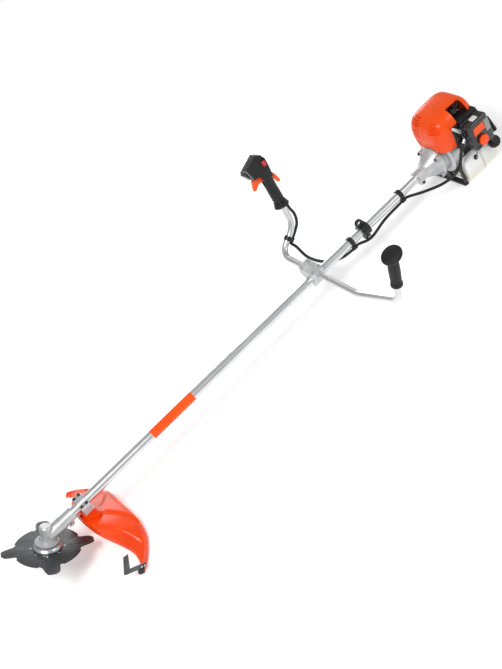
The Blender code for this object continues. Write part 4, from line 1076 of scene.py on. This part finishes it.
def louvre_fins(surface):
    """Five fins across the cover's front shoulder, on the operator's left."""
    shapes = []
    for i in range(5):
        up = 0.108 + 0.0066 * i
        left = -0.064 + 0.0022 * i
        right = -0.026 - 0.0012 * i
        places = [(left + (right - left) * t / 10, up + 0.002 * t / 10) for t in range(11)]
        shapes.append((ribbon(surface, places, 0.0030, 0.0034), HERE))
    return joined(*shapes)


def crease_strip(surface):
    """The moulded line that frames the cover's front face."""
    places = [(-0.058 + 0.0058 * t, 0.100 + 0.0012 * t) for t in range(21)]
    return ribbon(surface, places, 0.0022, 0.0008)


# ---------------------------------------------------------------- tank and small engine parts

CAP_AXIS = Vector((0.10, -0.80, 0.59)).normalized()
NECK = frame_at((1.7345, -0.0850, -0.0345), CAP_AXIS, X_AXIS)


def tank_outline():
    """The tank's section across the tube: rounded below, hollowed above to clear the shroud."""
    half, top, bottom, corner, hollow = 0.088, -0.014, -0.0945, 0.020, 0.0672
    reach = (hollow**2 - top**2) ** 0.5
    start = asin(top / hollow)
    outline = arc((half - corner, bottom + corner), corner, -pi / 2, 0, 10)
    outline += [(half, top - 0.020), (half - 0.0018, top - 0.0085), (half - 0.0085, top - 0.0015)]
    outline += [(reach + 0.004, top)]
    outline += arc((0, 0), hollow, start, -pi - start, 40)
    outline += [(-reach - 0.004, top), (0.0085 - half, top - 0.0015), (0.0018 - half, top - 0.0085)]
    outline += [(-half, top - 0.020)]
    outline += arc((-half + corner, bottom + corner), corner, -pi, -pi / 2, 10)
    return outline


def scaled_outline(outline, inset):
    """The outline drawn in by an equal step along its own normals."""
    moved = []
    count = len(outline)
    for i, (x, y) in enumerate(outline):
        x0, y0 = outline[i - 1]
        x1, y1 = outline[(i + 1) % count]
        dx, dy = x1 - x0, y1 - y0
        length = (dx * dx + dy * dy) ** 0.5
        moved.append((x - inset * dy / length, y + inset * dx / length))
    return moved


def build_tank():
    outline = tank_outline()
    front, rear, soft = 1.620, 1.749, 0.010
    rings = []
    for i in range(7):
        a = pi / 2 * i / 6
        rings.append((soft * (1 - sin(a)), front + soft * (1 - cos(a))))
    rings += [(inset, rear + front - x) for inset, x in reversed(rings)]
    body = lofted([[(x, y, z) for x, y in scaled_outline(outline, inset)] for inset, z in rings])
    neck = turned(((0, -0.006), (0.0130, -0.006), (0.0130, 0.0075), (0, 0.0075)), 40)
    seam = []
    middle = (front + rear) / 2
    for inset, z in ((0.002, middle - 0.0022), (-0.0012, middle - 0.0012), (-0.0012, middle + 0.0012),
                     (0.002, middle + 0.0022)):
        seam.append([(x, y, z) for x, y in scaled_outline(outline, inset)])
    shape = joined((body, ALONG_TUBE), (lofted(seam), ALONG_TUBE), (neck, NECK))
    made = add_piece("tank_shell", shape, HERE, "tank", crease=40)
    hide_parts("fuel_tank")


def ribbed_ring(root, tip, low, high, ribs, soft=0.0012):
    """A knurled ring: its outline waves between two radii."""
    steps = ribs * 6
    bm = bmesh.new()
    rows = []
    for inset, z in ((soft, low), (0, low + soft), (0, high - soft), (soft, high)):
        row = []
        for i in range(steps):
            a = tau * i / steps
            wave = 0.5 + 0.5 * cos(ribs * a)
            r = root + (tip - root) * wave**0.5 - inset
            row.append(bm.verts.new((r * cos(a), r * sin(a), z)))
        rows.append(row)
    for low_row, high_row in zip(rows, rows[1:]):
        bridge(bm, low_row, high_row)
    bm.faces.new(rows[0])
    bm.faces.new(rows[-1])
    return bm


def build_tank_fittings():
    cap = joined(
        (ribbed_ring(0.0180, 0.0192, 0.0090, 0.0240, 22), HERE),
        (disc(0.0165, 0.0235, 0.0290, 48, 0.0016), HERE),
        (block((-0.0130, -0.0022, 0.0280), (0.0130, 0.0022, 0.0315), 0.0012, 3), HERE),
    )
    made = add_piece("ribbed_cap", cap, NECK, "black", "tank_cap", crease=50)
    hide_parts("fuel_cap")
    grommet = turned(((0, -0.002), (0.0075, -0.002), (0.0080, 0.001), (0.0062, 0.0035), (0, 0.0040)), 32)
    at = Vector((1.664, -0.0872, -0.029))
    place = frame_at(at, (0, -0.97, 0.24), X_AXIS)
    add_piece("line_grommet", grommet, place, "rubber", crease=50)
    route = [at, at + Vector((0, -0.010, 0.004)), Vector((1.668, -0.0960, -0.008)),
             Vector((1.676, -0.0800, 0.012)), Vector((1.684, -0.0720, 0.034))]
    line = piped(smooth_route(route, 0.003), 0.0024, 0, 16)
    add_piece("fuel_line", line, HERE, "grey", crease=60)


def build_filter_details():
    """The plate, the handle bar and the label patch on the air filter, and its knurled knob."""
    face = -0.1262
    plate = ((1.6660, 0.0880), (1.7050, 0.0880), (1.7070, 0.0640), (1.6630, 0.0640))
    shape = slab([(x, -z) for x, z in plate], -face - 0.0010, -face + 0.0016)
    turn = placement((0, 0, 0), X_AXIS, -Z_AXIS, -Y_AXIS)
    add_piece("filter_plate", shape, turn, "orange", bevel=0.0008)
    bar = block((1.680, -0.1180, 0.1035), (1.702, -0.1000, 0.1085), 0.0020, 3)
    add_piece("filter_catch", bar, HERE, "pale", crease=50)
    patch = block((1.7090, face - 0.0004, 0.048), (1.7255, face + 0.0006, 0.088), 0.0002, 1)
    add_piece("filter_label", patch, HERE, "grey")
    place = frame_at((1.685, -0.1265, 0.037), -Y_AXIS, X_AXIS)
    knob = joined(
        (ribbed_ring(0.0142, 0.0166, 0.0002, 0.0105, 8, 0.0014), HERE),
        (disc(0.0078, 0.0100, 0.0125, 40, 0.0010), HERE),
        (disc(0.0036, -0.008, 0.002, 16), HERE),
    )
    made = add_piece("lobed_knob", knob, place, "orange", "filter_knob", crease=50)
    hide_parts("air_filter_knob")
    for i in range(4):
        low = 0.0165 + 0.0030 * i
        rib = block((1.6610, face - 0.0007, low), (1.6700, face + 0.001, low + 0.0013), 0.0004, 1)
        add_piece(f"filter_rib_{i}", rib, HERE, "gloss_black")


def build_plug_lead():
    """The boot's rings and the lead that goes into the cover."""
    profile = [(0, 0.0515), (0.0070, 0.0515), (0.0095, 0.0490)]
    for ridge in (0.0445, 0.0395, 0.0345):
        profile += [(0.0108, ridge), (0.0100, ridge - 0.0025)]
    profile[-1] = (0.0108, 0.0200)
    profile += [(0.0100, 0.0180), (0.0060, 0.0180), (0.0060, 0.0370), (0, 0.0370)]
    boot = turned(profile, 40)
    made = add_piece("plug_boot", boot, PLUG, "rubber", crease=60)
    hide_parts("plug_cap")
    top = PLUG @ Vector((0, 0, 0.044))
    out = Vector((1, 0.25, 0.2)).normalized()
    route = [top, top + 0.016 * out, Vector((1.712, -0.040, 0.136)), Vector((1.716, -0.026, 0.122))]
    add_piece("plug_lead", piped(smooth_route(route, 0.003), 0.0034, 0, 18), HERE, "rubber",
              crease=60)


def build_clutch_details():
    """Radial ribs and bolts of the clutch housing, and its pinch bolt."""
    ribs = []
    for i in range(8):
        angle = tau * (i + 0.5) / 8
        outline = ((1.523, 0.0205), (1.538, 0.0255), (1.558, 0.0365), (1.5735, 0.0475), (1.5735, 0.0420),
                   (1.545, 0.020), (1.523, 0.0180))
        fin = side_slab(outline, 0.0016)
        ribs.append((fin, Matrix.Rotation(angle, 4, "X") @ SIDEWAYS))
    add_piece("clutch_ribs", joined(*ribs), HERE, "cast", bevel=0.0005)
    add_pinch_bolt("clutch_pinch", 1.514, 0.009, -0.0250, "dark_steel", 0.0042, 0.004)
    corners = ((-0.0365, 0.0300), (0.0300, -0.0365), (-0.0300, -0.0365), (0.0365, 0.0300))
    for i, (side, up) in enumerate(corners):
        boss = disc(0.0072, 1.5660, 1.5860, 32, 0.0008)
        place = Matrix.Translation((0, side, up)) @ ALONG_TUBE
        add_piece(f"clutch_boss_{i}", boss, place, "cast", crease=40)
        add_screw(f"clutch_bolt_{i}", (1.5660, side, up), -X_AXIS, "dark_steel", 0.0046, 0.0046)


def build_starter_details():
    """Slots and screws on the starter's back, and the rope with its guide."""
    rings = [(washer_shape(r, r + 0.0030, 1.7585, 1.7612), ALONG_TUBE) for r in (0.022, 0.034, 0.046)]
    spokes = []
    for i in range(6):
        bar = block((1.7570, -0.0016, 0.012), (1.7612, 0.0016, 0.052), 0.0006, 2)
        spokes.append((bar, Matrix.Rotation(tau * i / 6, 4, "X")))
    add_piece("starter_grille", joined(*rings, *spokes), HERE, "black", crease=40)
    for i in range(4):
        a = tau * (i + 0.5) / 4
        side, up = 0.0630 * cos(a), 0.0630 * sin(a)
        boss = disc(0.0060, 1.7125, 1.7300, 28, 0.0008)
        place = Matrix.Translation((0, side, up)) @ ALONG_TUBE
        add_piece(f"starter_boss_{i}", boss, place, "black", crease=40)
        add_screw(f"starter_screw_{i}", (1.7300, side, up), X_AXIS, "steel", 0.0034, 0.003)
    handle = Vector((1.757, -0.0840, 0.0225))
    pull = Vector((0, -0.92, 0.40)).normalized()
    inner = handle - 0.030 * pull
    near = handle - 0.010 * pull
    rope = [inner.lerp(near, i / 12) for i in range(13)]
    made = dressed("starter_rope", piped(rope, 0.0021, 0, 14), HERE, "rubber")
    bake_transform(made)
    lip = ((0.0024, -0.004), (0.0064, -0.004), (0.0070, 0.0), (0.0050, 0.0022), (0.0024, 0.0022))
    guide = turned(lip, 32, ring=True)
    place = frame_at(handle - 0.0165 * pull, pull, X_AXIS)
    add_piece("rope_guide", guide, place, "orange", crease=50)


def washer_shape(inner, outer, low, high):
    return turned(((inner, low), (outer, low), (outer, high), (inner, high)), 64, ring=True)


# ---------------------------------------------------------------- grips


def build_left_grip():
    profile = [(0.0098, 0.0580), (0.0150, 0.0580), (0.0168, 0.0595), (0.0172, 0.0640), (0.0168, 0.0690),
               (0.0158, 0.0705)]
    heights = [0.0745 + 0.0038 * i for i in range(21)]
    for i, height in enumerate(heights):
        swell = 0.0012 * sin(pi * i / 20)
        groove = 0.0009 if i % 2 else 0.0
        profile.append((0.0152 + swell - groove, height))
    profile += [(0.0165, 0.1530), (0.0185, 0.1575), (0.0185, 0.1640), (0.0150, 0.1680), (0.0098, 0.1680)]
    grip = add_piece("ribbed_grip", turned(profile, 48, ring=True), LEFT, "rubber", crease=40)
    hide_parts("left_grip")
    centre = LEFT_BENDS[1] + 0.169 * LEFT_AXIS
    palm = frame_at(centre, (-0.227, -0.079, 0.967), X_AXIS)
    edge = ((0.0260, -0.0055), (0.0295, -0.0035), (0.0305, 0.0), (0.0295, 0.0032), (0.0270, 0.0042))
    rim = turned(((0, -0.0055), *edge, (0.0250, 0.0030), (0.0120, 0.0024), (0, 0.0022)), 64)
    add_piece("palm_rest", rim, palm, "rubber", crease=60)


def build_throttle_details():
    """The collar's rings, the ribbed end plate, the pale joint band and the housing's screws."""
    rings = []
    inner = 0.0150
    for low, radius in ((0.0015, 0.0234), (0.0105, 0.0205), (0.0165, 0.0186)):
        outer = radius + 0.0006
        step = ((inner, 0), (radius, 0), (outer, 0.0012), (outer, 0.0030), (radius, 0.0042), (inner, 0.0042))
        rings.append((turned([(r, low + z) for r, z in step], 48, ring=True), HERE))
    for i in range(4):
        low = 0.0270 + 0.0085 * i
        rib = ((inner, 0), (0.0172, 0), (0.01785, 0.0016), (0.01785, 0.0034), (0.0172, 0.0050), (inner, 0.0050))
        rings.append((turned([(r, low + z) for r, z in rib], 48, ring=True), HERE))
    add_piece("throttle_rings", joined(*rings), RIGHT, "black", crease=50)
    ahead, up = Vector((0.0010, 0.180)), Vector((0.0540, 0.155))
    run = (up - ahead).normalized()
    out = Vector((-run.y, run.x))
    ribs = []
    for i in range(9):
        at = ahead.lerp(up, (i + 0.8) / 9.6)
        corners = [at - run * 0.0016 - out * 0.001, at + run * 0.0016 - out * 0.001,
                   at + run * 0.0011 + out * 0.0016, at - run * 0.0011 + out * 0.0016]
        ribs.append((side_slab([(c.x, c.y) for c in corners], 0.0150), SIDEWAYS))
    add_piece("throttle_top_ribs", joined(*ribs), RIGHT, "black", bevel=0.0004)
    band = [(0.0495, 0.1585), (0.0525, 0.1572), (0.0440, 0.1235), (0.0412, 0.1230)]
    add_piece("throttle_band", side_slab(band, 0.0178), RIGHT @ SIDEWAYS, "grey",
              bevel=0.0006)
    left = -RIGHT.col[1].xyz
    corners = ((-0.0125, 0.1080), (0.0340, 0.1580), (0.0340, 0.1290), (-0.0130, 0.1650))
    for i, (x, z) in enumerate(corners):
        add_screw(f"throttle_screw_{i}", RIGHT @ Vector((x, -0.0172, z)), left, "dark_steel", 0.0026, 0.0010)
    for i, z in enumerate((0.040, 0.074)):
        add_screw(f"grip_screw_{i}", RIGHT @ Vector((0, -0.0166, z)), left, "dark_steel", 0.0026, 0.0010)


def build_clamp_details():
    """Washers on the bar clamp, and the hanger's bolt."""
    for i, (x, y) in enumerate(((-0.0145, -0.027), (-0.0145, 0.027), (0.0145, -0.027), (0.0145, 0.027))):
        place = Matrix.Translation((CLAMP_X + x, y, BAR_Z + 0.0132))
        add_piece(f"clamp_washer_{i}", washer_shape(0.0030, 0.0058, 0, 0.0009), place, "steel")
    add_pinch_bolt("hanger", 1.270, 0.009, -0.0265, "steel", 0.0042, 0.004)


# ---------------------------------------------------------------- stage, light and camera


def build_floor():
    bm = bmesh.new()
    corners = [bm.verts.new((x, y, -0.0006)) for x, y in ((-14, -14), (14, -14), (14, 14), (-14, 14))]
    bm.faces.new(corners)
    mesh = mesh_from("floor", bm, HERE, False)
    pale = varied("pale_floor", (0.90, 0.90, 0.90), (0.93, 0.93, 0.93), 0.8, 60.0, 0.0001)
    pale.shader.inputs["Emission Color"].default_value = (1, 1, 1, 1)
    pale.shader.inputs["Emission Strength"].default_value = 0.30
    mesh.materials.append(pale.material)
    linked("floor", mesh)


def area_light(name, place, aim, size, power):
    data = bpy.data.lights.new(name, "AREA")
    data.shape = "DISK"
    data.size = size
    data.energy = power
    made = linked(name, data)
    made.location = place
    made.rotation_euler = (Vector(aim) - Vector(place)).to_track_quat("-Z", "Y").to_euler()


def build_light():
    middle = (-0.8, 0, 0.1)
    area_light("key", (-2.2, -1.4, 3.2), middle, 1.4, 78)
    area_light("fill", (1.8, -2.2, 2.0), middle, 1.6, 20)
    area_light("low_back", (0.6, 2.9, 1.0), (-1.3, 0, 0.1), 1.8, 26)
    world = bpy.data.worlds.new("studio")
    world.use_nodes = True
    background = world.node_tree.nodes["Background"]
    background.inputs["Color"].default_value = (1, 1, 1, 1)
    background.inputs["Strength"].default_value = 0.42
    bpy.context.scene.world = world
    bpy.context.scene.view_settings.view_transform = "Standard"
    bpy.context.scene.view_settings.look = "None"


CAMERA_AIM = Vector((-0.838, -0.123, 0.240))
CAMERA_DISTANCE = 3.2676
CAMERA_TURNS = (radians(-14.94), radians(39.67), radians(35.76))
CAMERA_LENS = 64.57


def build_camera():
    """Looks at the aim from an azimuth and an elevation, and rolls about its own axis."""
    azimuth, elevation, roll = CAMERA_TURNS
    back = Vector((sin(azimuth) * cos(elevation), -cos(azimuth) * cos(elevation), sin(elevation)))
    level = Vector((cos(azimuth), sin(azimuth), 0))
    rise = back.cross(level)
    right = cos(roll) * level - sin(roll) * rise
    up = cos(roll) * rise + sin(roll) * level
    data = bpy.data.cameras.new("camera")
    data.lens = CAMERA_LENS
    data.sensor_width = 36
    data.sensor_fit = "AUTO"
    data.clip_end = 60
    made = linked("camera", data)
    made.matrix_world = placement(CAMERA_AIM + CAMERA_DISTANCE * back, right, up, back)
    bpy.context.scene.camera = made


# ---------------------------------------------------------------- everything


def build_all():
    finish_kept_nodes()
    build_tube()
    build_bar()
    build_cable()
    build_guard()
    build_guard_details()
    build_blade()
    build_head_details()
    build_cover()
    build_tank()
    build_tank_fittings()
    build_filter_details()
    build_plug_lead()
    build_clutch_details()
    build_starter_details()
    build_left_grip()
    build_throttle_details()
    build_clamp_details()
    build_floor()
    build_light()
    build_camera()


build_all()
